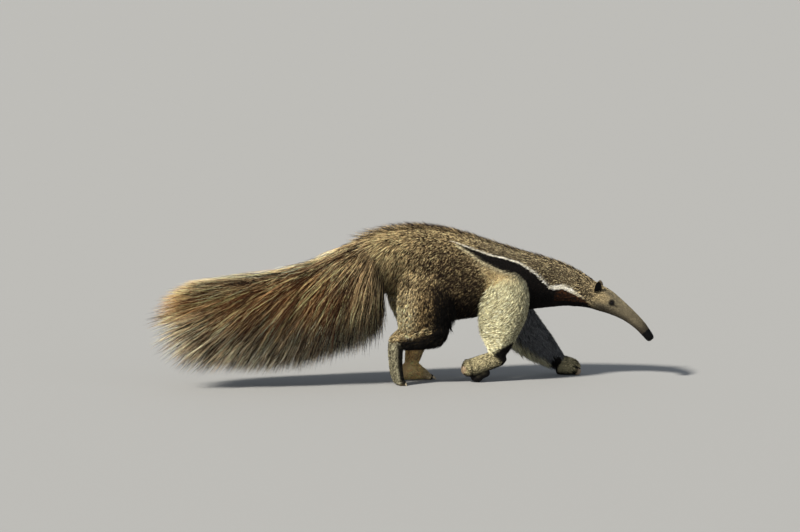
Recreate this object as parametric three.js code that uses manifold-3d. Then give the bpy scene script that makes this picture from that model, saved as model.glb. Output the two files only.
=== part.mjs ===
// Giant anteater, life size, walking with its long snout low and its plumed tail carried behind.
// Millimetres, +Z up. The head points to +X, the animal's right side faces -Y, its soles lie at z = 0.
import * as THREE from "three";
import { mergeVertices } from "three/addons/utils/BufferGeometryUtils.js";
import Module from "manifold-3d";

const wasm = await Module();
wasm.setup();

// Driving dimensions
const partingGap = 0.3; // between two nodes that meet
const trunkSides = 20;
const headSides = 18;
const limbSides = 12;
const eyeRadius = 7.5;
const earHeight = 46;
const earWidth = 33;
const mouthLength = 34;
const mouthOpening = 1.6;
// A lock's width and thickness, how deep its root lies in the body, and how many lengths it bends in
const tailLock = { wide: 72, thick: 14, sink: 16, links: 4 };
const maneLock = { wide: 60, thick: 13, sink: 10, links: 3 };
const haunchLock = { wide: 72, thick: 13, sink: 13, links: 3 };
const fringeLock = { wide: 48, thick: 11, sink: 10, links: 3 };
const seed = 41;

// Stations of the whole body from the tail's end to the snout's tip. A ring stands at (x, y, z), leans
// forward and turns sideways by degrees, and reaches wide to each side, up above and down below.
const backbone = stations([
  ["tailTip", -1010, 0, 330, -15, 0, 12, 12, 16],
  ["tailEnd", -955, 0, 345, -15, 0, 32, 34, 56],
  ["tailRear", -800, 0, 382, -14, 0, 50, 44, 136],
  ["tailMiddle", -640, 0, 425, -14, 0, 58, 46, 160],
  ["tailFore", -480, 0, 470, -16, 0, 66, 62, 162],
  ["rump", -368, 0, 502, -10, 0, 90, 88, 128],
  ["haunch", -285, 0, 490, -5, 0, 122, 130, 140],
  ["hip", -190, 0, 470, 0, 0, 146, 159, 160],
  ["loin", -70, 0, 440, 0, 0, 157, 177, 182],
  ["belly", 40, 0, 425, 0, 0, 155, 164, 162],
  ["ribs", 145, 0, 417, 0, 0, 142, 136, 144],
  ["shoulder", 250, 0, 402, 0, 0, 119, 118, 130],
  ["neckBase", 350, -8, 386, 4, -6, 94, 102, 106],
  ["nape", 444, -25, 369, 10, -14, 70, 82, 82],
  ["cheek", 527, -52, 339, 22, -21, 52, 56, 58],
  ["brow", 583, -78, 314, 31, -26, 44, 46.5, 50],
  ["muzzle", 623, -98, 289, 36, -27, 34.5, 37, 39],
  ["midSnout", 666, -120, 257, 42, -27, 27, 28, 29],
  ["foreSnout", 704, -140, 221, 47, -27, 23, 22.5, 23.5],
  ["noseBack", 727, -152, 193, 50, -28, 20.5, 19, 21],
  ["noseFront", 745, -162, 168, 50, -28, 17, 15, 18],
  ["noseTip", 751, -166, 160, 50, -28, 8, 7, 9],
]);

// The limbs' stations run down from the body, and the feet's from heel or wrist to toes. A limb's ring
// lies flat, so that up is its front and down its back.
const limbs = {
  forelegRight: stations([
    ["top", 140, -74, 468, 88, 0, 30, 40, 44],
    ["shoulder", 148, -94, 422, 88, 0, 58, 76, 86],
    ["arm", 150, -104, 345, 88, 0, 66, 103, 104],
    ["elbow", 146, -104, 265, 88, 0, 66, 97, 102],
    ["forearm", 136, -98, 195, 88, 0, 60, 76, 80],
    ["wrist", 130, -90, 135, 88, 0, 46, 50, 50],
    ["end", 128, -85, 100, 88, 0, 34, 36, 34],
  ]),
  forelegLeft: stations([
    ["top", 178, 74, 442, 80, 0, 30, 40, 44],
    ["shoulder", 190, 92, 397, 75, 0, 56, 72, 84],
    ["arm", 213, 98, 312, 66, 0, 62, 86, 92],
    ["elbow", 252, 92, 230, 56, 0, 60, 86, 88],
    ["forearm", 312, 82, 156, 50, 0, 52, 79, 74],
    ["wrist", 380, 72, 95, 50, 0, 43, 56, 52],
    ["end", 430, 64, 50, 52, 0, 30, 36, 30],
  ]),
  thighRight: stations([
    ["top", -185, -76, 500, 90, 0, 34, 70, 60],
    ["hip", -185, -96, 435, 90, 0, 56, 116, 103],
    ["thigh", -188, -105, 350, 90, 0, 60, 127, 112],
    ["stifle", -193, -106, 280, 92, 0, 58, 126, 105],
    ["calf", -200, -104, 222, 95, 0, 50, 96, 92],
    ["end", -205, -102, 186, 95, 0, 32, 58, 58],
  ]),
  thighLeft: stations([
    ["top", -185, 76, 500, 90, 0, 34, 70, 60],
    ["hip", -182, 96, 435, 90, 0, 56, 114, 103],
    ["thigh", -176, 102, 350, 90, 0, 58, 116, 112],
    ["stifle", -166, 98, 275, 92, 0, 54, 92, 98],
    ["calf", -160, 90, 210, 95, 0, 44, 68, 76],
    ["shank", -170, 78, 135, 96, 0, 34, 44, 50],
    ["end", -190, 69, 62, 95, 0, 27, 28, 34],
  ]),
  shankRight: stations([
    ["knee", -86, -104, 233, 14, 180, 24, 34, 34],
    ["kneeCap", -126, -104, 221, 14, 180, 46, 66, 66],
    ["calf", -190, -103, 204, 14, 180, 48, 70, 62],
    ["shank", -250, -101, 190, 12, 180, 42, 56, 52],
    ["hock", -300, -100, 178, 10, 180, 31, 36, 36],
    ["end", -324, -100, 173, 10, 180, 15, 17, 17],
  ]),
};

const feet = {
  forepawRight: stations([
    ["wrist", 158, -84, 98, 15, 180, 20, 18, 18],
    ["palmBack", 134, -84, 91, 15, 180, 35, 35, 29],
    ["palm", 85, -84, 77, 14, 180, 38, 40, 32],
    ["knuckles", 35, -84, 64, 12, 180, 41, 38, 38],
    ["toes", 1, -84, 58, 8, 180, 38, 35, 36],
    ["end", -14, -84, 55, 5, 180, 24, 22, 24],
  ]),
  forepawLeft: stations([
    ["heel", 418, 64, 30, 0, 0, 18, 20, 28],
    ["palmBack", 438, 64, 40, 0, 0, 34, 38, 44],
    ["palm", 464, 62, 38, 6, -6, 42, 36, 42],
    ["knuckles", 488, 59, 32, 10, -10, 40, 33, 35],
    ["toes", 502, 55, 27, 12, -14, 32, 26, 30],
    ["end", 511, 52, 24, 12, -14, 19, 15, 20],
  ]),
  hindfootRight: stations([
    ["heel", -298, -100, 197, 90, 0, 20, 19, 21],
    ["ankle", -301, -100, 162, 90, 0, 33, 31, 31],
    ["sole", -300, -100, 100, 90, 0, 35, 27, 29],
    ["ball", -296, -99, 55, 90, 0, 38, 25, 27],
    ["toes", -290, -98, 24, 90, 0, 39, 24, 22],
    ["end", -286, -98, 6, 90, 0, 34, 20, 16],
  ]),
  hindfootLeft: stations([
    ["heel", -238, 66, 30, 0, 0, 15, 15, 24],
    ["heelPad", -222, 66, 37, 0, 0, 31, 34, 42],
    ["ankle", -192, 66, 43, 4, 0, 36, 44, 48],
    ["sole", -162, 66, 31, 8, 0, 39, 27, 37],
    ["ball", -139, 66, 23, 8, 0, 42, 18, 28],
    ["toes", -124, 66, 15, 6, 0, 36, 11, 18],
  ]),
};

const colours = {
  coat: 0x5a4630,
  tail: 0x6a4a2c,
  neck: 0x6b6251,
  foreleg: 0xc9c29c,
  hindleg: 0x54422c,
  foot: 0xa89a70,
  face: 0x857c6b,
  ear: 0x2c2621,
  nose: 0x141312,
  eye: 0x0c0908,
  claw: 0xb7ab92,
};

// Shape helpers
function stations(rows) {
  return rows.map(([name, x, y, z, lean, turn, wide, up, down]) => ({
    name,
    at: new THREE.Vector3(x, y, z),
    tilt: new THREE.Vector3(lean, turn, 0),
    size: new THREE.Vector3(wide, up, down),
  }));
}

function blend(points, t) {
  return new THREE.CatmullRomCurve3(points, false, "catmullrom", 0.5).getPoint(t);
}

// The ring of a spine at a place counted in stations, such as 2.5 between its third and fourth.
function ringAt(spine, place) {
  const t = THREE.MathUtils.clamp(place / (spine.length - 1), 0, 1);
  const tilt = blend(spine.map((s) => s.tilt), t);
  const lean = THREE.MathUtils.degToRad(tilt.x);
  const turn = THREE.MathUtils.degToRad(tilt.y);
  const level = new THREE.Vector3(Math.cos(turn), Math.sin(turn), 0);
  const upright = new THREE.Vector3(0, 0, 1);
  return {
    centre: blend(spine.map((s) => s.at), t),
    size: blend(spine.map((s) => s.size), t),
    ahead: level.clone().multiplyScalar(Math.cos(lean)).addScaledVector(upright, -Math.sin(lean)),
    side: new THREE.Vector3(-Math.sin(turn), Math.cos(turn), 0),
    above: level.clone().multiplyScalar(Math.sin(lean)).addScaledVector(upright, Math.cos(lean)),
  };
}

// A point of a ring's outline, its angle counted from the left side over the top, and the way out there.
function outlinePoint(ring, degrees, grow = 0) {
  const angle = THREE.MathUtils.degToRad(degrees);
  const [c, s] = [Math.cos(angle), Math.sin(angle)];
  const wide = ring.size.x + grow;
  const high = (s > 0 ? ring.size.y : ring.size.z) + grow;
  const point = ring.centre.clone().addScaledVector(ring.side, wide * c);
  point.addScaledVector(ring.above, high * s);
  const out = ring.side.clone().multiplyScalar(c / wide);
  out.addScaledVector(ring.above, s / high).normalize();
  return { point, out };
}

// A point of a spine's surface and the way out of it, with the slope along the spine counted in.
function surfaceAt(spine, place, degrees) {
  const step = 0.02;
  const { point, out } = outlinePoint(ringAt(spine, place), degrees);
  const along = outlinePoint(ringAt(spine, place + step), degrees).point;
  along.sub(outlinePoint(ringAt(spine, place - step), degrees).point).normalize();
  return { point, out: out.addScaledVector(along, -out.dot(along)).normalize(), along };
}

// A closed mesh over rings of points, shut by a point at each end.
function closedOver(rings, start, end) {
  const sides = rings[0].length;
  const points = [start, ...rings.flat(), end];
  const faces = [];
  const corner = (i, j) => 1 + i * sides + (j % sides);
  for (let j = 0; j < sides; j += 1) {
    faces.push(0, corner(0, j + 1), corner(0, j));
    faces.push(points.length - 1, corner(rings.length - 1, j), corner(rings.length - 1, j + 1));
    for (let i = 0; i < rings.length - 1; i += 1) {
      faces.push(corner(i, j), corner(i, j + 1), corner(i + 1, j + 1));
      faces.push(corner(i, j), corner(i + 1, j + 1), corner(i + 1, j));
    }
  }
  const geometry = new THREE.BufferGeometry().setFromPoints(points);
  geometry.setIndex(faces);
  return geometry;
}

function solid(geometry) {
  geometry.deleteAttribute("normal");
  geometry.deleteAttribute("uv");
  const merged = mergeVertices(geometry, 1e-4);
  const made = new wasm.Manifold(
    new wasm.Mesh({
      numProp: 3,
      vertProperties: new Float32Array(merged.attributes.position.array),
      triVerts: new Uint32Array(merged.index.array),
    }),
  );
  if (made.volume() > 0) return made;
  const turned = [...merged.index.array];
  for (let i = 0; i < turned.length; i += 3) {
    [turned[i + 1], turned[i + 2]] = [turned[i + 2], turned[i + 1]];
  }
  merged.setIndex(turned);
  return solid(merged);
}

// The solid over a spine from one named station to another, drawn back by half the gap at a cut end.
function loft(spine, { from, to, grow = 0, steps = 1.6, sides = limbSides } = {}) {
  const first = from ? spine.findIndex((s) => s.name === from) : 0;
  const last = to ? spine.findIndex((s) => s.name === to) : spine.length - 1;
  const count = Math.round((last - first) * steps);
  const rings = [];
  for (let i = 0; i <= count; i += 1) {
    const ring = ringAt(spine, first + (i * (last - first)) / count);
    if (i === 0 && first > 0) ring.centre.addScaledVector(ring.ahead, partingGap / 2);
    if (i === count && last < spine.length - 1) ring.centre.addScaledVector(ring.ahead, -partingGap / 2);
    rings.push(ring);
  }
  const outline = rings.map((ring) =>
    Array.from({ length: sides }, (_, j) => outlinePoint(ring, (j * 360) / sides, grow).point),
  );
  return solid(closedOver(outline, rings[0].centre, rings.at(-1).centre));
}

function ellipsoid(centre, radii, detail = 8, turn = [0, 0, 0]) {
  const geometry = new THREE.SphereGeometry(1, detail + 4, detail);
  const angles = turn.map((a) => THREE.MathUtils.degToRad(a));
  geometry.applyMatrix4(
    new THREE.Matrix4().compose(
      new THREE.Vector3(...centre),
      new THREE.Quaternion().setFromEuler(new THREE.Euler(...angles, "ZYX")),
      new THREE.Vector3(...radii),
    ),
  );
  return solid(geometry);
}

function joined(pieces) {
  return pieces.length > 1 ? wasm.Manifold.union(pieces) : pieces[0];
}

// The largest closed surface, which drops loose scraps and fills any sealed hollow.
function largest(made) {
  return made.decompose().sort((a, b) => b.volume() - a.volume())[0];
}

const underFloor = solid(new THREE.BoxGeometry(4000, 1000, 200).translate(0, 0, -100));

function standing(made) {
  return made.subtract(underFloor);
}

function node(name, made, colour, roughness = 0.9) {
  const kept = largest(made).getMesh();
  const geometry = new THREE.BufferGeometry();
  geometry.setAttribute("position", new THREE.BufferAttribute(kept.vertProperties.slice(), 3));
  geometry.setIndex(new THREE.BufferAttribute(kept.triVerts.slice(), 1));
  geometry.computeVertexNormals();
  const material = new THREE.MeshStandardMaterial({ color: colour, roughness, metalness: 0 });
  const mesh = new THREE.Mesh(geometry, material);
  mesh.name = name;
  return mesh;
}

// Locks of hair
let drawState = seed;

// A seeded draw between -1 and 1, so that locks vary in the same way each time.
function vary() {
  drawState = (drawState + 0x6d2b79f5) | 0;
  let t = Math.imul(drawState ^ (drawState >>> 15), 1 | drawState);
  t = (t + Math.imul(t ^ (t >>> 7), 61 | t)) ^ t;
  return ((t ^ (t >>> 14)) >>> 0) / 2147483648 - 1;
}

// A flat tapered lock that leaves the body one way and bends round to end another way.
function lock({ root, out, start, end, length, wide, thick, sink, links, grow = 0 }) {
  const rings = [];
  const at = root.clone().addScaledVector(out, -sink);
  for (let i = 0; i < links; i += 1) {
    const heading = start.clone().lerp(end, i / (links - 1)).normalize();
    const across = new THREE.Vector3().crossVectors(out, heading).normalize();
    const through = new THREE.Vector3().crossVectors(heading, across);
    const taper = 0.68 + 0.9 * (i / links) - 1.5 * (i / links) ** 2;
    const [w, t] = [(wide * taper) / 2 + grow, (thick * taper) / 2 + grow];
    rings.push([
      at.clone().addScaledVector(across, w),
      at.clone().addScaledVector(through, t),
      at.clone().addScaledVector(across, -w),
      at.clone().addScaledVector(through, -t),
    ]);
    at.addScaledVector(heading, (length + sink) / links);
  }
  const heel = root.clone().addScaledVector(out, -sink).addScaledVector(start, -4);
  return solid(closedOver(rings, heel, at));
}

// The way that points to the tail and falls from the level by some degrees.
function backwards(fall, sideways = 0) {
  const angle = THREE.MathUtils.degToRad(fall);
  return new THREE.Vector3(-Math.cos(angle), sideways, -Math.sin(angle)).normalize();
}

// The place on the backbone that stands at a distance along the animal.
function placeAt(x) {
  const ahead = backbone.findIndex((s) => s.at.x > x);
  const [a, b] = [backbone[ahead - 1].at.x, backbone[ahead].at.x];
  return ahead - 1 + (x - a) / (b - a);
}

// A row of locks along the backbone. Falls and lengths run from the row's front to its rear. A lock
// lifts off the surface at its root and ends along its fall, or along the surface as far as it hugs that.
function lockRow({ degrees, count, x, fall, length, lift, size, hug = 0, shiftBy = 0 }, grow) {
  return Array.from({ length: count }, (_, i) => {
    const share = (i + shiftBy) / Math.max(1, count - 1 + shiftBy);
    const place = placeAt(THREE.MathUtils.lerp(x[0], x[1], share) + 9 * vary());
    const { point, out } = surfaceAt(backbone, place, degrees + 5 * vary());
    const way = backwards(THREE.MathUtils.lerp(fall[0], fall[1], share) + 6 * vary(), 0.05 * vary());
    const lying = way.clone().addScaledVector(out, Math.max(0, -way.dot(out))).normalize();
    return lock({
      root: point,
      out,
      start: lying.clone().addScaledVector(out, lift).normalize(),
      end: way.clone().lerp(lying, hug).addScaledVector(out, 0.06 * hug).normalize(),
      length: THREE.MathUtils.lerp(length[0], length[1], share) * (1 + 0.1 * vary()),
      ...size,
      wide: size.wide * (1 + 0.14 * vary()),
      grow,
    });
  });
}

// The same row on both sides of the body.
function pairedRows(row) {
  return [row, { ...row, degrees: 180 - row.degrees, shiftBy: 0.4 }];
}

const tailRows = [
  {
    degrees: 90,
    count: 5,
    x: [-410, -890],
    fall: [30, 4],
    length: [130, 240],
    lift: 0.28,
    size: tailLock,
    hug: 0.8,
  },
  ...pairedRows({
    degrees: 60,
    count: 5,
    x: [-405, -930],
    fall: [50, 6],
    length: [250, 280],
    lift: 0.36,
    size: tailLock,
  }),
  ...pairedRows({
    degrees: 28,
    count: 7,
    x: [-400, -940],
    fall: [70, 18],
    length: [335, 290],
    lift: 0.3,
    size: tailLock,
  }),
  ...pairedRows({
    degrees: -8,
    count: 6,
    x: [-400, -930],
    fall: [79, 32],
    length: [290, 285],
    lift: 0.3,
    size: tailLock,
  }),
  ...pairedRows({
    degrees: -52,
    count: 5,
    x: [-415, -915],
    fall: [84, 46],
    length: [196, 275],
    lift: 0.3,
    size: tailLock,
  }),
  {
    degrees: 270,
    count: 6,
    x: [-425, -930],
    fall: [84, 54],
    length: [180, 250],
    lift: 0.3,
    size: tailLock,
  },
];

// The locks at the tail's very end spread like a fan from just above level to well below it.
function tailFan() {
  const count = 7;
  return Array.from({ length: count }, (_, i) => {
    const share = i / (count - 1);
    const degrees = THREE.MathUtils.lerp(80, -80, share);
    const { point, out } = surfaceAt(backbone, 0.4, i % 2 ? degrees : 180 - degrees);
    const way = backwards(THREE.MathUtils.lerp(-16, 52, share), 0.06 * vary());
    return lock({
      root: point,
      out,
      start: way,
      end: way.clone().add(new THREE.Vector3(0, 0, -0.16)).normalize(),
      length: 232 + 26 * vary(),
      ...tailLock,
    });
  });
}

const maneRows = [
  {
    degrees: 90,
    count: 14,
    x: [330, -338],
    fall: [-30, 30],
    length: [70, 112],
    lift: 0.34,
    size: maneLock,
    hug: 1,
  },
  ...pairedRows({
    degrees: 68,
    count: 7,
    x: [300, -325],
    fall: [-12, 32],
    length: [86, 116],
    lift: 0.3,
    size: maneLock,
    hug: 1,
  }),
];

const haunchRows = [
  ...pairedRows({
    degrees: 40,
    count: 3,
    x: [-190, -320],
    fall: [34, 52],
    length: [135, 165],
    lift: 0.36,
    size: haunchLock,
    hug: 0.6,
  }),
  ...pairedRows({
    degrees: 12,
    count: 3,
    x: [-200, -325],
    fall: [58, 72],
    length: [140, 165],
    lift: 0.36,
    size: haunchLock,
    hug: 0.3,
  }),
];

// The belly's fringe shows under the body in front of the hind legs.
const bellyRows = pairedRows({
  degrees: -58,
  count: 4,
  x: [205, -20],
  fall: [30, 50],
  length: [76, 88],
  lift: 0.35,
  size: fringeLock,
  hug: 0.6,
});

// Locks down a limb, each at its place on the limb and its turn round it, running on down the limb.
function limbLocks(spine, rows, grow) {
  return rows.flatMap(({ degrees, from, to, count, length, lean }) =>
    Array.from({ length: count }, (_, i) => {
      const place = THREE.MathUtils.lerp(from, to, count > 1 ? i / (count - 1) : 0.5);
      const { point, out, along } = surfaceAt(spine, place, degrees + 6 * vary());
      const way = along.clone().addScaledVector(new THREE.Vector3(-1, 0, 0), lean).normalize();
      return lock({
        root: point,
        out,
        start: way.clone().addScaledVector(out, 0.26).normalize(),
        end: way.clone().addScaledVector(out, -0.06).normalize(),
        length: length * (1 + 0.1 * vary()),
        ...fringeLock,
        grow,
      });
    }),
  );
}

const limbRows = {
  forelegRight: [
    { degrees: 262, from: 1.6, to: 3.6, count: 4, length: 78, lean: 0.12 },
    { degrees: 218, from: 2, to: 3.4, count: 2, length: 74, lean: 0.1 },
  ],
  forelegLeft: [
    { degrees: 278, from: 1.6, to: 3.9, count: 5, length: 82, lean: 0.1 },
    { degrees: 322, from: 2, to: 3.4, count: 2, length: 74, lean: 0.1 },
  ],
  thighRight: [
    { degrees: 262, from: 1.2, to: 2.9, count: 3, length: 88, lean: 0.1 },
    { degrees: 205, from: 1.3, to: 2.8, count: 3, length: 92, lean: 0.14 },
    { degrees: 118, from: 1.9, to: 3.1, count: 2, length: 76, lean: 0.05 },
  ],
  thighLeft: [
    { degrees: 278, from: 1.2, to: 2.9, count: 3, length: 88, lean: 0.1 },
    { degrees: 335, from: 1.3, to: 2.8, count: 3, length: 92, lean: 0.14 },
    { degrees: 62, from: 1.9, to: 3.1, count: 2, length: 76, lean: 0.05 },
  ],
};

// A lock's draws start again for each use, so that a limb and the hollow it leaves in the trunk agree.
function drawnAfresh(make) {
  drawState = seed;
  return make();
}

// Feet
const hindClawCount = 5;

function toePads(centre, spread, radii, fan) {
  return Array.from({ length: hindClawCount }, (_, i) => {
    const across = i / (hindClawCount - 1) - 0.5;
    const back = fan * 4 * across * across;
    return ellipsoid([centre[0] - back, centre[1] + across * spread, centre[2]], radii, 4);
  });
}

const footSolids = {
  forepawRight: (grow) => [
    loft(feet.forepawRight, { grow }),
    ellipsoid([40, -84, 22], [27 + grow, 29 + grow, 24 + grow], 7),
  ],
  forepawLeft: (grow) => [loft(feet.forepawLeft, { grow })],
  hindfootRight: (grow) => [
    loft(feet.hindfootRight, { grow }),
    ...toePads([-275, -98, 11], 62, [16 + grow, 8.5 + grow, 13 + grow], 7),
  ],
  hindfootLeft: (grow) => [
    loft(feet.hindfootLeft, { grow }),
    ...toePads([-119, 66, 10], 66, [17 + grow, 8.5 + grow, 12 + grow], 9),
  ],
};

const foot = (name, grow = 0) => joined(footSolids[name](grow));

// A claw bends through its curl in degrees as it runs, and tapers to its tip.
function claw({ root, aim, bend, curl, length, deep, wide }) {
  const rings = [];
  const at = new THREE.Vector3(...root);
  const axis = new THREE.Vector3(...bend).normalize();
  const way = new THREE.Vector3(...aim).normalize();
  const links = 3;
  for (let i = 0; i <= links; i += 1) {
    const share = i / (links + 1);
    const taper = 1 - share ** 1.6;
    const over = new THREE.Vector3().crossVectors(axis, way).normalize();
    rings.push(
      Array.from({ length: 4 }, (_, j) => {
        const angle = (j * Math.PI) / 2;
        return at
          .clone()
          .addScaledVector(axis, (wide / 2) * taper * Math.cos(angle))
          .addScaledVector(over, (deep / 2) * taper * Math.sin(angle));
      }),
    );
    way.applyAxisAngle(axis, THREE.MathUtils.degToRad(curl / links));
    at.addScaledVector(way, length / (links + 1));
  }
  return solid(closedOver(rings, new THREE.Vector3(...root), at));
}

const clawSets = {
  hindclawRight: {
    carrier: "hindfootRight",
    centre: [-268, -98, 14],
    spread: 62,
    fan: 7,
    aim: [0.8, -0.45],
  },
  hindclawLeft: {
    carrier: "hindfootLeft",
    centre: [-111, 66, 12],
    spread: 66,
    fan: 9,
    aim: [0.9, -0.1],
  },
};

function hindClaws(name) {
  const { carrier, centre, spread, fan, aim } = clawSets[name];
  return Array.from({ length: hindClawCount }, (_, i) => {
    const across = i / (hindClawCount - 1) - 0.5;
    const made = claw({
      root: [centre[0] - fan * 4 * across * across, centre[1] + across * spread, centre[2]],
      aim: [aim[0], across * 0.35, aim[1]],
      bend: [0, 1, 0],
      curl: 38,
      length: 27,
      deep: 9,
      wide: 6.5,
    });
    const cut = standing(made.subtract(foot(carrier, partingGap)));
    return node(`${name}${i + 1}`, cut, colours.claw, 0.45);
  });
}

// The forefoot's claws fold back under the palm, and the third is by far the largest.
const foldedClaws = [
  { along: -0.5, length: 36, deep: 11, wide: 7 },
  { along: -0.18, length: 50, deep: 15, wide: 9 },
  { along: 0.18, length: 62, deep: 19, wide: 11 },
  { along: 0.5, length: 38, deep: 12, wide: 8 },
];

function foreClaws(name, carrier, place) {
  return foldedClaws.map(({ along, length, deep, wide }, i) => {
    const made = claw({
      root: place.root.map((v, k) => v + place.across[k] * along),
      aim: place.aim,
      bend: place.bend,
      curl: place.curl,
      length,
      deep,
      wide,
    });
    const cut = standing(made.subtract(foot(carrier, partingGap)));
    return node(`${name}${i + 1}`, cut, colours.claw, 0.4);
  });
}

// Legs, each cut clear of its own foot
const haired = (name, grow) =>
  drawnAfresh(() => [
    loft(limbs[name], { grow }),
    ...limbLocks(limbs[name], limbRows[name], grow),
  ]);

const legSolids = {
  forelegRight: (grow) => haired("forelegRight", grow),
  forelegLeft: (grow) => haired("forelegLeft", grow),
  hindlegRight: (grow) => [...haired("thighRight", grow), loft(limbs.shankRight, { grow })],
  hindlegLeft: (grow) => haired("thighLeft", grow),
};

const legFoot = {
  forelegRight: "forepawRight",
  forelegLeft: "forepawLeft",
  hindlegRight: "hindfootRight",
  hindlegLeft: "hindfootLeft",
};

const leg = (name, grow = 0) => joined(legSolids[name](grow));
const allLegs = (grow) => joined(Object.keys(legSolids).map((name) => leg(name, grow)));

// Head: skull and snout with lids, eye sockets, mouth line and nostrils
const cheekPlace = backbone.findIndex((s) => s.name === "cheek");
const browPlace = backbone.findIndex((s) => s.name === "brow");
const eyeSides = { Right: 166, Left: 14 };

function eyeSeat(side) {
  const ring = ringAt(backbone, browPlace + 0.5);
  const { point, out } = outlinePoint(ring, eyeSides[side]);
  return { ring, out, centre: point.clone().addScaledVector(out, -eyeRadius * 0.62) };
}

function lids(side) {
  const { ring, out, centre } = eyeSeat(side);
  const over = new THREE.Vector3().crossVectors(ring.ahead, out).normalize();
  if (over.z < 0) over.negate();
  return [1, -1].map((half) => {
    const rings = [];
    const middle = (angle) =>
      centre
        .clone()
        .addScaledVector(ring.ahead, 10.5 * Math.cos(angle))
        .addScaledVector(over, half * (half > 0 ? 7.4 : 6.6) * Math.sin(angle))
        .addScaledVector(out, 1.2 + 4.2 * Math.sin(angle));
    for (let i = 0; i <= 5; i += 1) {
      const angle = (Math.PI * (i + 0.25)) / 5.5;
      const thick = 1.1 + 1.7 * Math.sin((Math.PI * (i + 0.5)) / 6);
      const outward = middle(angle).sub(centre).normalize();
      const along = middle(angle + 0.05).sub(middle(angle)).normalize();
      const across = new THREE.Vector3().crossVectors(along, outward).normalize();
      rings.push(
        Array.from({ length: 4 }, (_, j) =>
          middle(angle)
            .addScaledVector(outward, thick * Math.cos((j * Math.PI) / 2))
            .addScaledVector(across, thick * 1.3 * Math.sin((j * Math.PI) / 2)),
        ),
      );
    }
    return solid(closedOver(rings, middle(0), middle(Math.PI)));
  });
}

// The mouth is a slit round the snout's end, cut only a few millimetres deep.
function mouthSlit() {
  const ring = ringAt(backbone, backbone.findIndex((s) => s.name === "noseFront"));
  const middle = ring.centre.clone().addScaledVector(ring.above, -6);
  const disc = new THREE.CylinderGeometry(mouthLength, mouthLength, mouthOpening, 16);
  const basis = new THREE.Matrix4().makeBasis(ring.side, ring.above, ring.side.clone().cross(ring.above));
  disc.applyMatrix4(basis.setPosition(middle));
  return solid(disc).subtract(loft(backbone, { from: "midSnout", grow: -3.2, sides: 12 }));
}

function nostrils() {
  const ring = ringAt(backbone, backbone.findIndex((s) => s.name === "noseFront"));
  return [1, -1].map((side) => {
    const at = ring.centre
      .clone()
      .addScaledVector(ring.side, side * 7.5)
      .addScaledVector(ring.above, 4)
      .addScaledVector(ring.ahead, 6);
    return ellipsoid(at.toArray(), [2.4, 2.4, 9], 5, [0, 140, side * 12 - 28]);
  });
}

function headSolid() {
  const skull = loft(backbone, { from: "cheek", to: "noseBack", steps: 2, sides: headSides });
  const sockets = ["Right", "Left"].map((side) =>
    ellipsoid(eyeSeat(side).centre.toArray(), Array(3).fill(eyeRadius + partingGap), 7),
  );
  return joined([skull, ...lids("Right"), ...lids("Left")])
    .subtract(joined(sockets))
    .subtract(mouthSlit());
}

function noseSolid() {
  const pad = loft(backbone, { from: "noseBack", sides: headSides });
  return pad.subtract(mouthSlit()).subtract(joined(nostrils()));
}

function eye(side) {
  const { centre } = eyeSeat(side);
  return ellipsoid(centre.toArray(), Array(3).fill(eyeRadius), 7);
}

// An ear is a small round cup on the side of the crown, its hollow turned out and forwards.
const earSeats = {
  Right: { place: 0.3, degrees: 155, sideways: -1 },
  Left: { place: 0.3, degrees: 18, sideways: 1 },
};

function ear(side) {
  const { place, degrees, sideways } = earSeats[side];
  const ring = ringAt(backbone, cheekPlace + place);
  const { point, out } = outlinePoint(ring, degrees);
  const up = ring.above.clone().multiplyScalar(1.1).addScaledVector(out, 0.55);
  up.addScaledVector(ring.ahead, -0.35).normalize();
  const facing = ring.side.clone().multiplyScalar(sideways).addScaledVector(ring.ahead, 0.75);
  const across = new THREE.Vector3().crossVectors(up, facing).normalize();
  facing.crossVectors(across, up);
  const cup = ellipsoid([0, 0, 0], [10, earWidth / 2, earHeight / 2 + 5], 8);
  const hollow = ellipsoid([6, 0, 4], [9.5, earWidth / 2 - 3.4, earHeight / 2], 6);
  const seat = new THREE.Matrix4().makeBasis(facing, across, up);
  seat.setPosition(point.addScaledVector(up, earHeight / 2 - 5));
  const skull = joined([
    loft(backbone, { from: "cheek", to: "noseBack", steps: 2, sides: headSides, grow: partingGap * 1.5 }),
    loft(backbone, { from: "neckBase", to: "cheek", steps: 2.6, sides: headSides, grow: partingGap * 1.5 }),
  ]);
  return cup.subtract(hollow).transform(seat.elements).subtract(skull);
}

// Trunk
const backboneLocks = (rows, grow = 0) => rows.flatMap((row) => lockRow(row, grow));

function hairedTorso(grow = 0) {
  const core = loft(backbone, { from: "rump", to: "neckBase", grow, sides: trunkSides });
  const rows = [...maneRows, ...haunchRows, ...bellyRows];
  return joined([core, ...drawnAfresh(() => backboneLocks(rows, grow))]);
}

const torsoSolid = () => hairedTorso().subtract(allLegs(partingGap));

// The torso's hair lies over the front of the tail, which is cut clear of it.
function tailSolid() {
  const core = loft(backbone, { to: "rump", sides: trunkSides });
  const locks = drawnAfresh(() => [...backboneLocks(tailRows), ...tailFan()]);
  return joined([core, ...locks]).subtract(joined([hairedTorso(partingGap), allLegs(partingGap)]));
}

const neckSolid = () => loft(backbone, { from: "neckBase", to: "cheek", steps: 2.6, sides: headSides });

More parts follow.
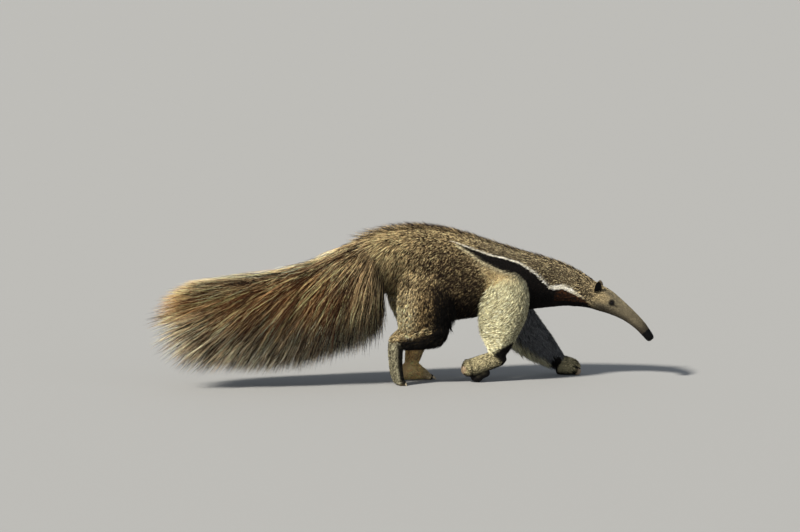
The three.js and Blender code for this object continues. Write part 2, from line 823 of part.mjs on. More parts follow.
function anteater() {
  const group = new THREE.Group();
  const legColours = {
    forelegRight: colours.foreleg,
    forelegLeft: colours.foreleg,
    hindlegRight: colours.hindleg,
    hindlegLeft: colours.hindleg,
  };
  group.add(node("torso", torsoSolid(), colours.coat));
  group.add(node("neck", neckSolid(), colours.neck));
  group.add(node("head", headSolid(), colours.face));
  group.add(node("nose", noseSolid(), colours.nose, 0.5));
  group.add(node("tail", tailSolid(), colours.tail));
  for (const side of ["Right", "Left"]) {
    group.add(node(`ear${side}`, ear(side), colours.ear));
    group.add(node(`eye${side}`, eye(side), colours.eye, 0.1));
  }
  for (const [name, footName] of Object.entries(legFoot)) {
    const cutLeg = leg(name).subtract(foot(footName, partingGap));
    group.add(node(name, standing(cutLeg), legColours[name]));
    group.add(node(footName, standing(foot(footName)), colours.foot));
  }
  group.add(...hindClaws("hindclawRight"), ...hindClaws("hindclawLeft"));
  group.add(
    ...foreClaws("foreclawRight", "forepawRight", {
      root: [-12, -84, 64],
      across: [0, 48, 0],
      aim: [-0.8, 0, -0.5],
      bend: [0, -1, 0],
      curl: 125,
    }),
    ...foreClaws("foreclawLeft", "forepawLeft", {
      root: [502, 52, 26],
      across: [12, 44, 0],
      aim: [0.8, -0.5, -0.25],
      bend: [0.25, 0.5, -0.8],
      curl: 110,
    }),
  );
  const box = new THREE.Box3().setFromObject(group);
  const centre = box.getCenter(new THREE.Vector3());
  group.position.set(-centre.x, -centre.y, 0);
  return group;
}

export default anteater();
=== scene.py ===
import math
import bpy
import numpy as np
from mathutils import Matrix, Vector
from mathutils.bvhtree import BVHTree
from mathutils.kdtree import KDTree


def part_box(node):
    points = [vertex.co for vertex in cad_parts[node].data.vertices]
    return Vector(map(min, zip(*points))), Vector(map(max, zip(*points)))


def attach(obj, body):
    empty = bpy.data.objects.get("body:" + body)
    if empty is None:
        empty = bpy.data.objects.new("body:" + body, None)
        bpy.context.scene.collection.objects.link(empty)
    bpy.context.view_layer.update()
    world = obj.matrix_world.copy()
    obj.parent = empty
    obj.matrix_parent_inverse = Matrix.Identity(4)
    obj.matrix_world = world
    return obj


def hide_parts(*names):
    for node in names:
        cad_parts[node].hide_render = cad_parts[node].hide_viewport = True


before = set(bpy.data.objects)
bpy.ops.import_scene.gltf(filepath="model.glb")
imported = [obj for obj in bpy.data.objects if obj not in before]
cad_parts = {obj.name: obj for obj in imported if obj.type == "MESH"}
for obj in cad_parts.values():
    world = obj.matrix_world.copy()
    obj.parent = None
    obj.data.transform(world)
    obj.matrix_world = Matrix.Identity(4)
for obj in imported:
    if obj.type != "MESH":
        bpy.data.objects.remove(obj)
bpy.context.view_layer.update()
bpy.ops.object.select_all(action="DESELECT")
print("solids loaded:", len(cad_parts), "nodes")

rng = np.random.default_rng(17)
upward = np.array([0.0, 0.0, 1.0])


# the lines that the animal is built on, in millimetres and degrees as the solids' source has them:
# place x y z, lean, turn, half width, height above, height below, depth of the coat there
def lineOf(stations):
    rows = np.array(list(stations.values()), float)
    rows[:, [0, 1, 2, 5, 6, 7, 8]] *= 0.001
    return rows


bodyLine = lineOf({
    "tailTip": (-1010, 0, 330, -15, 0, 12, 12, 16, 4),
    "tailEnd": (-955, 0, 345, -15, 0, 32, 34, 56, 8),
    "tailRear": (-800, 0, 382, -14, 0, 50, 44, 136, 12),
    "tailMiddle": (-640, 0, 425, -14, 0, 58, 46, 160, 13),
    "tailFore": (-480, 0, 470, -16, 0, 66, 62, 162, 13),
    "rump": (-368, 0, 502, -10, 0, 90, 88, 128, 12),
    "haunch": (-285, 0, 490, -5, 0, 122, 130, 140, 11),
    "hip": (-190, 0, 470, 0, 0, 146, 159, 160, 9.5),
    "loin": (-70, 0, 440, 0, 0, 157, 177, 182, 9),
    "belly": (40, 0, 425, 0, 0, 155, 164, 162, 8.5),
    "ribs": (145, 0, 417, 0, 0, 142, 136, 144, 8),
    "shoulder": (250, 0, 402, 0, 0, 119, 118, 130, 7),
    "neckBase": (350, -8, 386, 4, -6, 94, 102, 106, 6),
    "nape": (444, -25, 369, 10, -14, 70, 82, 82, 4),
    "cheek": (527, -52, 339, 22, -21, 52, 56, 58, 2),
    "brow": (583, -78, 314, 31, -26, 44, 46.5, 50, 1.3),
    "muzzle": (623, -98, 289, 36, -27, 34.5, 37, 39, 1),
    "midSnout": (666, -120, 257, 42, -27, 27, 28, 29, 0.8),
    "foreSnout": (704, -140, 221, 47, -27, 23, 22.5, 23.5, 0.7),
    "noseBack": (727, -152, 193, 50, -28, 20.5, 19, 21, 0.6),
    "noseFront": (745, -162, 168, 50, -28, 17, 15, 18, 2),
    "noseTip": (751, -166, 160, 50, -28, 8, 7, 9, 2.5),
})
armRight = lineOf({
    "top": (140, -74, 468, 88, 0, 30, 40, 44, 6),
    "shoulder": (148, -94, 422, 88, 0, 58, 76, 86, 5.5),
    "arm": (150, -104, 345, 88, 0, 66, 103, 104, 5.5),
    "elbow": (146, -104, 265, 88, 0, 66, 97, 102, 5.5),
    "forearm": (136, -98, 195, 88, 0, 60, 76, 80, 5.5),
    "wrist": (130, -90, 135, 88, 0, 46, 50, 50, 4.5),
    "end": (128, -85, 100, 88, 0, 34, 36, 34, 4),
})
armLeft = lineOf({
    "top": (178, 74, 442, 80, 0, 30, 40, 44, 6),
    "shoulder": (190, 92, 397, 75, 0, 56, 72, 84, 5),
    "arm": (213, 98, 312, 66, 0, 62, 86, 92, 5),
    "elbow": (252, 92, 230, 56, 0, 60, 86, 88, 5),
    "forearm": (312, 82, 156, 50, 0, 52, 79, 74, 5),
    "wrist": (380, 72, 95, 50, 0, 43, 56, 52, 4),
    "end": (430, 64, 50, 52, 0, 30, 36, 30, 4),
})
thighRight = lineOf({
    "top": (-185, -76, 500, 90, 0, 34, 70, 60, 7),
    "hip": (-185, -96, 435, 90, 0, 56, 116, 103, 7),
    "thigh": (-188, -105, 350, 90, 0, 60, 127, 112, 7),
    "stifle": (-193, -106, 280, 92, 0, 58, 126, 105, 7),
    "calf": (-200, -104, 222, 95, 0, 50, 96, 92, 7),
    "end": (-205, -102, 186, 95, 0, 32, 58, 58, 6),
})
thighLeft = lineOf({
    "top": (-185, 76, 500, 90, 0, 34, 70, 60, 7),
    "hip": (-182, 96, 435, 90, 0, 56, 114, 103, 7),
    "thigh": (-176, 102, 350, 90, 0, 58, 116, 112, 7),
    "stifle": (-166, 98, 275, 92, 0, 54, 92, 98, 7),
    "calf": (-160, 90, 210, 95, 0, 44, 68, 76, 7),
    "shank": (-170, 78, 135, 96, 0, 34, 44, 50, 6),
    "end": (-190, 69, 62, 95, 0, 27, 28, 34, 4),
})
shankRight = lineOf({
    "knee": (-86, -104, 233, 14, 180, 24, 34, 34, 5),
    "kneeCap": (-126, -104, 221, 14, 180, 46, 66, 66, 5),
    "calf": (-190, -103, 204, 14, 180, 48, 70, 62, 5),
    "shank": (-250, -101, 190, 12, 180, 42, 56, 52, 6),
    "hock": (-300, -100, 178, 10, 180, 31, 36, 36, 4),
    "end": (-324, -100, 173, 10, 180, 15, 17, 17, 3),
})
pawRight = lineOf({
    "wrist": (158, -84, 98, 15, 180, 20, 18, 18, 3),
    "palmBack": (134, -84, 91, 15, 180, 35, 35, 29, 3),
    "palm": (85, -84, 77, 14, 180, 38, 40, 32, 3),
    "knuckles": (35, -84, 64, 12, 180, 41, 38, 38, 2.5),
    "toes": (1, -84, 58, 8, 180, 38, 35, 36, 2),
    "end": (-14, -84, 55, 5, 180, 24, 22, 24, 2),
})
pawLeft = lineOf({
    "heel": (418, 64, 30, 0, 0, 18, 20, 28, 1.5),
    "palmBack": (438, 64, 40, 0, 0, 34, 38, 44, 2),
    "palm": (464, 62, 38, 6, -6, 42, 36, 42, 2),
    "knuckles": (488, 59, 32, 10, -10, 40, 33, 35, 2),
    "toes": (502, 55, 27, 12, -14, 32, 26, 30, 1.5),
    "end": (511, 52, 24, 12, -14, 19, 15, 20, 1.5),
})
footRight = lineOf({
    "heel": (-298, -100, 197, 90, 0, 20, 19, 21, 2),
    "ankle": (-301, -100, 162, 90, 0, 33, 31, 31, 3),
    "sole": (-300, -100, 100, 90, 0, 35, 27, 29, 2.5),
    "ball": (-296, -99, 55, 90, 0, 38, 25, 27, 2),
    "toes": (-290, -98, 24, 90, 0, 39, 24, 22, 1.5),
    "end": (-286, -98, 6, 90, 0, 34, 20, 16, 1.5),
})
footLeft = lineOf({
    "heel": (-238, 66, 30, 0, 0, 15, 15, 24, 1.5),
    "heelPad": (-222, 66, 37, 0, 0, 31, 34, 42, 2),
    "ankle": (-192, 66, 43, 4, 0, 36, 44, 48, 3),
    "sole": (-162, 66, 31, 8, 0, 39, 27, 37, 2.5),
    "ball": (-139, 66, 23, 8, 0, 42, 18, 28, 2),
    "toes": (-124, 66, 15, 6, 0, 36, 11, 18, 1.5),
})
lines = {
    "body": bodyLine, "armRight": armRight, "armLeft": armLeft, "thighRight": thighRight, "thighLeft": thighLeft,
    "shankRight": shankRight, "pawRight": pawRight, "pawLeft": pawLeft, "footRight": footRight, "footLeft": footLeft,
}
# places on a line are counted in its stations, and these are some of the body's
nape, cheek, brow, noseBack, noseFront = 13, 14, 15, 19, 20


def sectionsOn(line, place):
    # a smooth run through the stations, read at places counted in stations
    place = np.clip(np.atleast_1d(np.asarray(place, float)), 0, len(line) - 1)
    i = np.minimum(place.astype(int), len(line) - 2)
    w = (place - i)[:, None]
    wider = np.vstack([2 * line[0] - line[1], line, 2 * line[-1] - line[-2]])
    p0, p1, p2, p3 = (wider[i + k] for k in range(4))
    t0, t1 = (p2 - p0) / 2, (p3 - p1) / 2
    v = p1 + t0 * w + (3 * (p2 - p1) - 2 * t0 - t1) * w**2 + (2 * (p1 - p2) + t0 + t1) * w**3
    lean, turn = np.radians(v[:, 3:4]), np.radians(v[:, 4:5])
    level = np.hstack([np.cos(turn), np.sin(turn), 0 * turn])
    return {
        "centre": v[:, :3],
        "ahead": level * np.cos(lean) - upward * np.sin(lean),
        "side": np.hstack([-np.sin(turn), np.cos(turn), 0 * turn]),
        "above": level * np.sin(lean) + upward * np.cos(lean),
        "wide": v[:, 5:6], "up": v[:, 6:7], "down": v[:, 7:8], "depth": v[:, 8:9],
    }


def unit(v):
    return v / np.maximum(np.linalg.norm(v, axis=-1, keepdims=True), 1e-9)


def onOutline(line, place, angle, underCoat=False):
    # the angle runs from the animal's left side over the top
    s = sectionsOn(line, place)
    a = np.radians(np.atleast_1d(np.asarray(angle, float)))[:, None]
    c, d = np.cos(a), np.sin(a)
    sunk = s["depth"] if underCoat else 0
    wide = np.maximum(s["wide"] - sunk, 0.002)
    high = np.maximum(np.where(d > 0, s["up"], s["down"]) - sunk, 0.002)
    point = s["centre"] + s["side"] * wide * c + s["above"] * high * d
    out = unit(s["side"] * c / wide + s["above"] * d / high)
    return point, out


def alongAt(line, place, angle):
    return unit(onOutline(line, place + 0.02, angle)[0] - onOutline(line, place - 0.02, angle)[0])


def placesOf(line, points):
    # the place, angle and share of the outline that each point stands at
    last = len(line) - 1
    grid = np.linspace(0, last, 6 * last + 1)
    centres = sectionsOn(line, grid)["centre"]
    near = np.concatenate([
        ((chunk[:, None] - centres[None]) ** 2).sum(2).argmin(1)
        for chunk in np.array_split(points, max(1, len(points) // 8000))
    ])
    low, high = np.clip(grid[near] - 0.7, 0, last), np.clip(grid[near] + 0.7, 0, last)
    for _ in range(16):
        middle = (low + high) / 2
        s = sectionsOn(line, middle)
        past = ((points - s["centre"]) * s["ahead"]).sum(1) > 0
        low, high = np.where(past, middle, low), np.where(past, high, middle)
    r = points - s["centre"]
    a = (r * s["side"]).sum(1) / s["wide"][:, 0]
    b = (r * s["above"]).sum(1)
    b = b / np.where(b > 0, s["up"][:, 0], s["down"][:, 0])
    return middle, np.degrees(np.arctan2(b, a)) % 360, np.hypot(a, b)


def ramp(x, low, high):
    t = np.clip((x - low) / (high - low), 0, 1)
    return t * t * (3 - 2 * t)


def zone(x, riseFrom, riseTo, fallFrom, fallTo):
    return ramp(x, riseFrom, riseTo) * (1 - ramp(x, fallFrom, fallTo))


def bump(x, centre, width):
    return np.exp(-(((x - centre) / width) ** 2))


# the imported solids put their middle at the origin, so the lines move by what the right eye shows
eyeShape = {"radius": 0.0075, "sunk": 0.62, "rightAngle": 166, "leftAngle": 14, "place": brow + 0.5}


def eyeSeat(angle):
    point, out = onOutline(bodyLine, eyeShape["place"], angle)
    return point[0] - out[0] * eyeShape["radius"] * eyeShape["sunk"], out[0]


lowEye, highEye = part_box("eyeRight")
moveBy = np.array((lowEye + highEye) / 2) - eyeSeat(eyeShape["rightAngle"])[0]
moveBy[2] = 0
for line in lines.values():
    line[:, :3] += moveBy
print("lines moved by", [round(float(v), 4) for v in moveBy])


# colours of the coat, as a painter would name them
def paint(red, green, blue):
    c = np.array([red, green, blue], float) / 255
    return np.where(c <= 0.04045, c / 12.92, ((c + 0.055) / 1.055) ** 2.4)


paints = {
    "black": paint(5, 4, 4),
    "soot": paint(20, 14, 12),
    "umber": paint(36, 26, 18),
    "straw": paint(208, 187, 144),
    "gold": paint(178, 138, 80),
    "greyBrown": paint(70, 62, 47),
    "grizzle": paint(174, 165, 136),
    "white": paint(244, 238, 220),
    "cream": paint(250, 242, 200),
    "creamShade": paint(128, 120, 88),
    "shade": paint(90, 92, 95),
    "tailBrown": paint(120, 86, 54),
    "rust": paint(150, 88, 44),
    "tan": paint(168, 151, 114),
    # painted sunlight: a bright warm tan that stands in for the sun on the far hind leg
    "sunlitTan": paint(232, 184, 122),
    "face": paint(104, 96, 78),
    "snout": paint(82, 77, 66),
}


def between(a, b, share):
    return a * (1 - share) + b * share


def mix(a, b, share):
    # colours or directions, with one share for each
    return between(a, b, np.asarray(share)[..., None])


def everywhere(place, colour):
    return np.tile(colour, (len(place), 1))


def foldOf(angle):
    # degrees down from the back's middle, the same on both sides
    return np.abs((angle - 90 + 180) % 360 - 180)


def frontOf(angle):
    # 1 at a limb's front, -1 at its rear
    return np.cos(np.radians(angle - 90))


# each part's markings are the colour deep in the coat, the colour of its light hairs, and their share.
# the dark band runs from the back over the shoulder to the throat: places on the body line, then the
# angles down from the back's middle at its upper and its lower edge, and how wide its pale rim is above it
band = {
    "upper": np.array([(8.15, 40), (8.83, 46.5), (9.49, 51), (10.07, 51), (10.64, 54), (11.08, 63), (11.48, 74),
                       (11.78, 86), (12.06, 99), (12.35, 99), (12.73, 94), (13.31, 103), (13.81, 114),
                       (14.18, 130), (14.45, 158), (14.6, 181)]).T,
    "lower": np.array([(8.15, 40), (9.16, 63), (9.83, 72), (10.45, 76), (10.86, 92), (11.05, 123), (11.1, 181)]).T,
    "start": 8.15, "openFrom": 11.1, "end": 14.6,
    "perDegree": ([8, 10, 12, 14, 14.6], [2.6, 2.3, 1.8, 1.2, 1.0]),
    "rimWidth": ([8, 10.5, 11.9, 12.3, 13.6, 14.3], [7, 8.5, 11, 18, 15, 10]),
    "rimStrength": ([8, 8.4, 11, 11.9, 13.2, 13.5, 13.9], [0.3, 0.75, 0.9, 1, 0.9, 0.4, 0]),
    "underWidth": 12, "underPerDegree": 2.4,
}


def trunkMarkings(place, fold):
    # the ridge is darker, the haunch is golden at its rear, partly as painted sunlight, and painted shade darkens the
    # flank towards the belly
    deep = everywhere(place, paints["umber"])
    tip = everywhere(place, mix(paints["straw"], paints["gold"], 0.25))
    light = 0.48 * (1 - 0.3 * (1 - ramp(fold, 6, 20))) + 0.24 * (1 - ramp(place, 5.9, 7.2))
    # the belly's darker hair, deepened as painted shade
    belly = ramp(fold, 100, 142) * ramp(place, 6.3, 7.3)
    deep, tip = mix(deep, paints["black"], 0.6 * belly), mix(tip, paints["umber"], 0.7 * belly)
    # painted shade on the flank, which faces away from the light
    flank = ramp(fold, 26, 80) * ramp(place, 6.7, 8.0)
    tip = mix(tip, paints["tailBrown"], 0.16 * flank)
    light = light * (1 - 0.46 * flank)
    # grizzled grey over the shoulders and neck
    above = fold - np.interp(place, *band["upper"])
    below = fold - np.interp(place, *band["lower"])
    grey = ramp(place, 8.2, 9.8) * (1 - ramp(above, -4, 4))
    grizzled = mix(paints["grizzle"], paints["straw"], 0.5)
    deep = mix(deep, mix(paints["umber"], paints["greyBrown"], 0.15), grey)
    tip = mix(tip, mix(paints["grizzle"], paints["straw"], 0.75), grey)
    light = between(light, 0.35 - 0.1 * ramp(fold, 20, 60) * (1 - ramp(place, 12.6, 13.4)), grey)
    # pale and golden hair where the arm leaves the flank
    shoulder = zone(place, 8.2, 9.4, 11.6, 12) * zone(below, -2, 3, 8, 34)
    tip = mix(tip, grizzled, 0.8 * shoulder)
    light = light + 0.42 * shoulder
    golden = zone(place, 8.9, 9.6, 10.6, 11) * ramp(below, 4, 14) * (1 - ramp(fold, 116, 134))
    tip = mix(tip, mix(paints["gold"], paints["straw"], 0.6), 0.8 * golden)
    return deep, tip, light + 0.72 * golden


def headMarkings(place, fold, deep, tip, light):
    # short grey-brown hair, with painted shade under the chin, and darker on the snout
    head = ramp(place, 13.8, 15.0)
    crown = 1 + 0.3 * (1 - ramp(place, 16.2, 17.2))[:, None]
    deep, tip = mix(deep, paints["snout"] * 0.45, head), mix(tip, paints["face"] * crown, head)
    light = between(light, 0.74, head)
    # a paler cheek behind the eye, a dark line ahead of it, and a painted highlight along the top of the head and snout
    cheekPatch = zone(place, 13.9, 14.5, 15.0, 15.5) * zone(fold, 40, 60, 92, 112)
    deep, tip = mix(deep, paints["tan"] * 0.35, 0.4 * cheekPatch), mix(tip, paints["straw"], 0.42 * cheekPatch)
    tearLine = 0.8 * bump(place, 15.85, 0.3) * bump(fold, 80, 8)
    deep, tip = mix(deep, paints["soot"], tearLine), mix(tip, paints["soot"], tearLine)
    tip = tip * (1 + 0.4 * (head * (1 - ramp(fold, 14, 40)))[:, None])
    shadeUnderChin = head * ramp(fold, 86, 130)
    deep, tip = mix(deep, paints["umber"], 0.6 * shadeUnderChin), mix(tip, paints["snout"] * 0.5, 0.8 * shadeUnderChin)
    snout = ramp(place, 17.4, 19.0)
    return mix(deep, paints["black"], 0.7 * snout), mix(tip, paints["soot"] * 1.6, 0.75 * snout), light


def darkWhere(dark, deep, tip, light):
    deep[dark], tip[dark], light[dark] = paints["black"], paints["soot"], 0.5
    return deep, tip, light


def bodyMarkings(place, angle):
    fold = foldOf(angle)
    deep, tip, light = headMarkings(place, fold, *trunkMarkings(place, fold))
    upper, lower = np.interp(place, *band["upper"]), np.interp(place, *band["lower"])
    # the band's pale edges
    edge = (upper - fold) * np.interp(place, *band["perDegree"])
    rim = (place > 8.0) & (place < 13.95) & (edge > 0) & (edge < np.interp(place, *band["rimWidth"]))
    strength = np.interp(place, *band["rimStrength"])[rim]
    deep[rim] = mix(deep[rim], mix(paints["white"], paints["greyBrown"], 0.35), strength)
    tip[rim], light[rim] = mix(tip[rim], paints["white"], strength), 0.5 + 0.45 * strength
    below = (fold - lower) * band["underPerDegree"]
    under = (place > 8.2) & (place < 10.95) & (below > 0) & (below < band["underWidth"])
    deep[under], tip[under] = mix(paints["grizzle"], paints["greyBrown"], 0.5), paints["grizzle"] * 1.15
    light[under] = 0.85
    # the band itself, with a brown sheen at the throat, and the black nose
    dark = (place > band["start"]) & (place < band["end"]) & (fold > upper)
    dark &= (fold < lower) | (place > band["openFrom"])
    deep, tip, light = darkWhere(dark, deep, tip, light)
    sheen = dark & (place > 12.4) & (place < 14.2) & (fold < 132)
    tip[sheen] = mix(paints["umber"], paints["rust"], 0.22)
    nose = place > noseBack + 0.1
    deep[nose], tip[nose] = paints["black"], paints["black"]
    return deep, tip, light


def tailMarkings(place, angle):
    # dark at the foot, with straw tips, reddish streaks half way down and greyer hair at the bottom
    fold = foldOf(angle)
    deep = everywhere(place, paints["umber"] * 0.5)
    tip = everywhere(place, mix(paints["tailBrown"], paints["straw"], 0.85)) * (1.6, 1.46, 1.5)
    streak = 0.6 * bump(fold, 50, 22) * (1 - ramp(place, 4.6, 5.4))
    deep = mix(deep, paints["rust"] * 0.35, streak)
    tip = mix(tip, mix(paints["rust"], paints["gold"], 0.6) * 2, streak)
    low = ramp(fold, 70, 110)
    tip = mix(tip, mix(paints["grizzle"], paints["straw"], 0.4) * (1.5, 1.38, 1.5), 0.75 * low)
    tip = tip * (1 + 0.16 * ramp(place, 1.0, 2.6) - 0.2 * (1 - ramp(place, 0.2, 1.4)))[:, None]
    return mix(deep, paints["black"], 0.6 * low), tip, 0.58 - 0.04 * low


def bodyAndTailMarkings(place, angle):
    share = 1 - ramp(place, 4.6, 5.4)
    deep, tip, light = bodyMarkings(place, angle)
    tailDeep, tailTip, tailLight = tailMarkings(place, angle)
    return mix(deep, tailDeep, share), mix(tip, tailTip, share), between(light, tailLight, share)


def armMarkings(place, angle, inner):
    # the arm is cream with dark flecks, greyer and darker at its front, partly its own grey ticks and partly painted
    # shade, and painted grey-blue shade where it faces the body
    front = frontOf(angle)
    frontGreyAndShade = ramp(front, -0.2, 0.8)
    deep = everywhere(place, paints["creamShade"]) * (0.55 - 0.12 * front[:, None])
    tip = mix(everywhere(place, paints["cream"]), mix(paints["cream"], paints["shade"], 0.2), frontGreyAndShade)
    shaded = ramp(inner * np.cos(np.radians(angle)) - 0.15 * (inner + 1), -0.35, 0.35) * (1 - ramp(-front, 0.55, 0.9))
    deep, tip = mix(deep, paints["shade"] * 0.25, shaded), mix(tip, paints["shade"] * 1.5, shaded)
    return deep, tip, 0.9 - 0.08 * frontGreyAndShade


def armRightMarkings(place, angle):
    wrist = (place > 5.05 - 0.6 * frontOf(angle)) & (frontOf(angle) > -0.6)
    return darkWhere(wrist, *armMarkings(place, angle, 1))


def armLeftMarkings(place, angle):
    wrist = (place > 5.35) & (frontOf(angle) < 0.4)
    return darkWhere(wrist, *armMarkings(place, angle, -1))


def thighMarkings(place, angle):
    # golden at the rear, brightened there as painted sunlight, and black at the front down to the knee
    front = frontOf(angle)
    deep = everywhere(place, paints["umber"])
    golden = everywhere(place, mix(paints["straw"], paints["gold"], 0.5))
    tip = mix(golden, paints["straw"] * 1.65, ramp(-front, 0.1, 0.7))
    dark = np.clip(ramp(front, 0.02, 0.56) * ramp(place, 0.8, 1.8) + ramp(place + 1.4 * front, 3.6, 4.8), 0, 1)
    deep, tip = mix(deep, paints["black"], 0.95 * dark), mix(tip, paints["umber"] * 0.7, 0.95 * dark)
    return deep, tip, (0.46 + 0.46 * ramp(-front, 0.0, 0.7)) * (1 - 0.7 * dark)


def thighLeftMarkings(place, angle):
    deep, tip, light = thighMarkings(np.minimum(place, 4.0), angle)
    # painted sunlight: the far leg's lower part turns a bright warm tan with more light hairs
    lower = ramp(place, 3.7, 4.7)
    return mix(deep, paints["tan"] * 0.5, lower), mix(tip, paints["sunlitTan"], lower), light + 0.4 * lower


def shankMarkings(place, angle):
    # the thigh's rear colour, with painted shade on its underside, and dark towards the knee
    deep, tip, light = thighMarkings(np.full(len(place), 3.0), np.full(len(place), 200.0))
    lower = np.clip(ramp(-np.sin(np.radians(angle)), -0.3, 0.4) + (1 - ramp(place, 0.6, 1.6)), 0, 1)
    deep, tip = mix(deep, paints["black"], 0.95 * lower), mix(tip, paints["umber"] * 0.6, 0.95 * lower)
    return deep, tip, light * (1 - 0.6 * lower)


# the crease behind the right paw's toes: where it lies, how wide and deep it is, and how wide the painted shade in it
# is
toeCrease = {"place": 3.55, "width": 0.13, "depth": 0.004, "shadeWidth": 0.12}


def pawRightMarkings(place, angle):
    height = np.sin(np.radians(angle))
    deep = everywhere(place, paints["creamShade"] * 0.4)
    tip = everywhere(place, mix(paints["cream"], paints["tan"], 0.55))
    # painted shade: black under the paw and in the crease behind the toes, with the wrist's black band at its back end
    under = ramp(-height, 0.45, 0.9) + (1 - ramp(place, 1.0 + 0.5 * height, 1.3 + 0.5 * height))
    under = np.clip(under + bump(place, toeCrease["place"], toeCrease["shadeWidth"]), 0, 1)
    return mix(deep, paints["black"], under), mix(tip, paints["soot"], under), np.full(len(place), 0.72)


def pawLeftMarkings(place, angle):
    deep, tip, light = pawRightMarkings(np.maximum(place, 1.6), angle)
    shadeBetweenToes = ramp(place, 2.3, 3.0) * ramp(-np.cos(np.radians((angle - 90) * 7)), 0.1, 0.7)  # painted shade between the toes
    return mix(deep, paints["black"], shadeBetweenToes), mix(tip, paints["soot"], shadeBetweenToes), light


def footRightMarkings(place, angle):
    deep = everywhere(place, paints["greyBrown"] * 0.8)
    tip = everywhere(place, mix(paints["cream"], paints["shade"], 0.45))
    # painted shade down the front of the foot, which faces away from the light
    front = ramp(frontOf(angle), -0.25, 0.3) * ramp(place, 0.4, 1.2)
    return mix(deep, paints["black"], front), mix(tip, paints["soot"], 0.95 * front), np.full(len(place), 0.72)


def footLeftMarkings(place, angle):
    rear = footRightMarkings(place, np.full(len(place), 270.0))
    # painted sunlight: the far foot is a bright warm tan with more light hairs, darker towards the toes
    toeward = 0.7 * ramp(place, 2.6, 3.8)
    return mix(paints["tan"], paints["black"], toeward), mix(paints["sunlitTan"] * 1.5, rear[1], toeward), rear[2] + 0.15


markingsOf = {
    "body": bodyAndTailMarkings, "armRight": armRightMarkings, "armLeft": armLeftMarkings,
    "thighRight": thighMarkings, "thighLeft": thighLeftMarkings, "shankRight": shankMarkings,
    "pawRight": pawRightMarkings, "pawLeft": pawLeftMarkings,
    "footRight": footRightMarkings, "footLeft": footLeftMarkings,
}


# finishes
def newFinish(name, roughness, gloss):
    material = bpy.data.materials.new(name)
    material.use_nodes = True
    shader = material.node_tree.nodes["Principled BSDF"]
    shader.inputs["Roughness"].default_value = roughness
    shader.inputs["Specular IOR Level"].default_value = gloss
    return material, material.node_tree.nodes, material.node_tree.links, shader


def grainFor(nodes, links, shader, grain, detail, relief, strength):
    # a fine noise over the piece, raised by the relief where there is one
    place = nodes.new("ShaderNodeTexCoord")
    speckle = nodes.new("ShaderNodeTexNoise")
    speckle.inputs["Scale"].default_value = grain
    speckle.inputs["Detail"].default_value = detail
    links.new(place.outputs["Object"], speckle.inputs["Vector"])
    if relief:
        raised = nodes.new("ShaderNodeBump")
        raised.inputs["Strength"].default_value = strength
        raised.inputs["Distance"].default_value = relief
        links.new(speckle.outputs["Fac"], raised.inputs["Height"])
        links.new(raised.outputs["Normal"], shader.inputs["Normal"])
    return speckle.outputs["Fac"]


def coatFinish(name, roughness, relief, grain):
    # the painted colour, a little lighter and darker from speckle to speckle
    material, nodes, links, shader = newFinish(name, roughness, 0.14)
    colour = nodes.new("ShaderNodeAttribute")
    colour.attribute_name = "coatColour"
    strength = nodes.new("ShaderNodeMapRange")
    for key, value in {"From Min": 0.3, "From Max": 0.7, "To Min": 0.66, "To Max": 1.24}.items():
        strength.inputs[key].default_value = value
    links.new(grainFor(nodes, links, shader, grain, 3, relief, 0.8), strength.inputs["Value"])
    shaded = nodes.new("ShaderNodeVectorMath")
    shaded.operation = "SCALE"
    links.new(colour.outputs["Color"], shaded.inputs[0])
    links.new(strength.outputs["Result"], shaded.inputs["Scale"])
    links.new(shaded.outputs["Vector"], shader.inputs["Base Color"])
    return material


def plainFinish(name, colour, roughness, relief=0.0, grain=300, gloss=0.5):
    material, nodes, links, shader = newFinish(name, roughness, gloss)
    shader.inputs["Base Color"].default_value = (*colour, 1)
    if relief:
        grainFor(nodes, links, shader, grain, 2, relief, 1)
    return material


skinFinish = coatFinish("shortCoat", 0.75, 0.0008, 420)
hairFinish = coatFinish("bristleHair", 0.6, 0, 160)
strandFinish = coatFinish("longHair", 0.5, 0, 120)


def dressed(piece, material, slotName, *nodes):
    piece.data.materials.clear()
    piece.data.materials.append(material)
    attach(piece, "root")
    if nodes:
        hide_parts(*nodes)


def setColours(mesh, colours):
    layer = mesh.color_attributes.new("coatColour", "FLOAT_COLOR", "POINT")
    layer.data.foreach_set("color", np.hstack([colours, np.ones((len(colours), 1))]).astype(np.float32).ravel())


def spotsOf(mesh):
    spots = np.empty(len(mesh.vertices) * 3, np.float32)
    mesh.vertices.foreach_get("co", spots)
    return spots.reshape(-1, 3).astype(float)


def putSpots(mesh, spots):
    mesh.vertices.foreach_set("co", spots.astype(np.float32).ravel())
    mesh.update()


def faceCentres(mesh):
    centres = np.empty(len(mesh.polygons) * 3, np.float32)
    mesh.polygons.foreach_get("center", centres)
    return centres.reshape(-1, 3).astype(float)


# the few steps by hand that every piece is modelled with
def selectOnly(*pieces):
    bpy.ops.object.select_all(action="DESELECT")
    for piece in pieces:
        piece.select_set(True)
    bpy.context.view_layer.objects.active = pieces[0]


def selectFaces(piece, chosen):
    selectOnly(piece)
    bpy.ops.object.mode_set(mode="EDIT")
    bpy.ops.mesh.select_mode(type="FACE")
    bpy.ops.mesh.select_all(action="DESELECT")
    bpy.ops.object.mode_set(mode="OBJECT")
    piece.data.polygons.foreach_set("select", chosen)
    bpy.ops.object.mode_set(mode="EDIT")


def newDisc(name, sides):
    bpy.ops.object.select_all(action="DESELECT")
    bpy.ops.mesh.primitive_circle_add(vertices=sides, radius=1, fill_type="NGON", location=(0, 0, 0))
    bpy.context.object.name = name
    bpy.ops.object.mode_set(mode="EDIT")
    bpy.ops.mesh.select_all(action="SELECT")
    return bpy.context.object


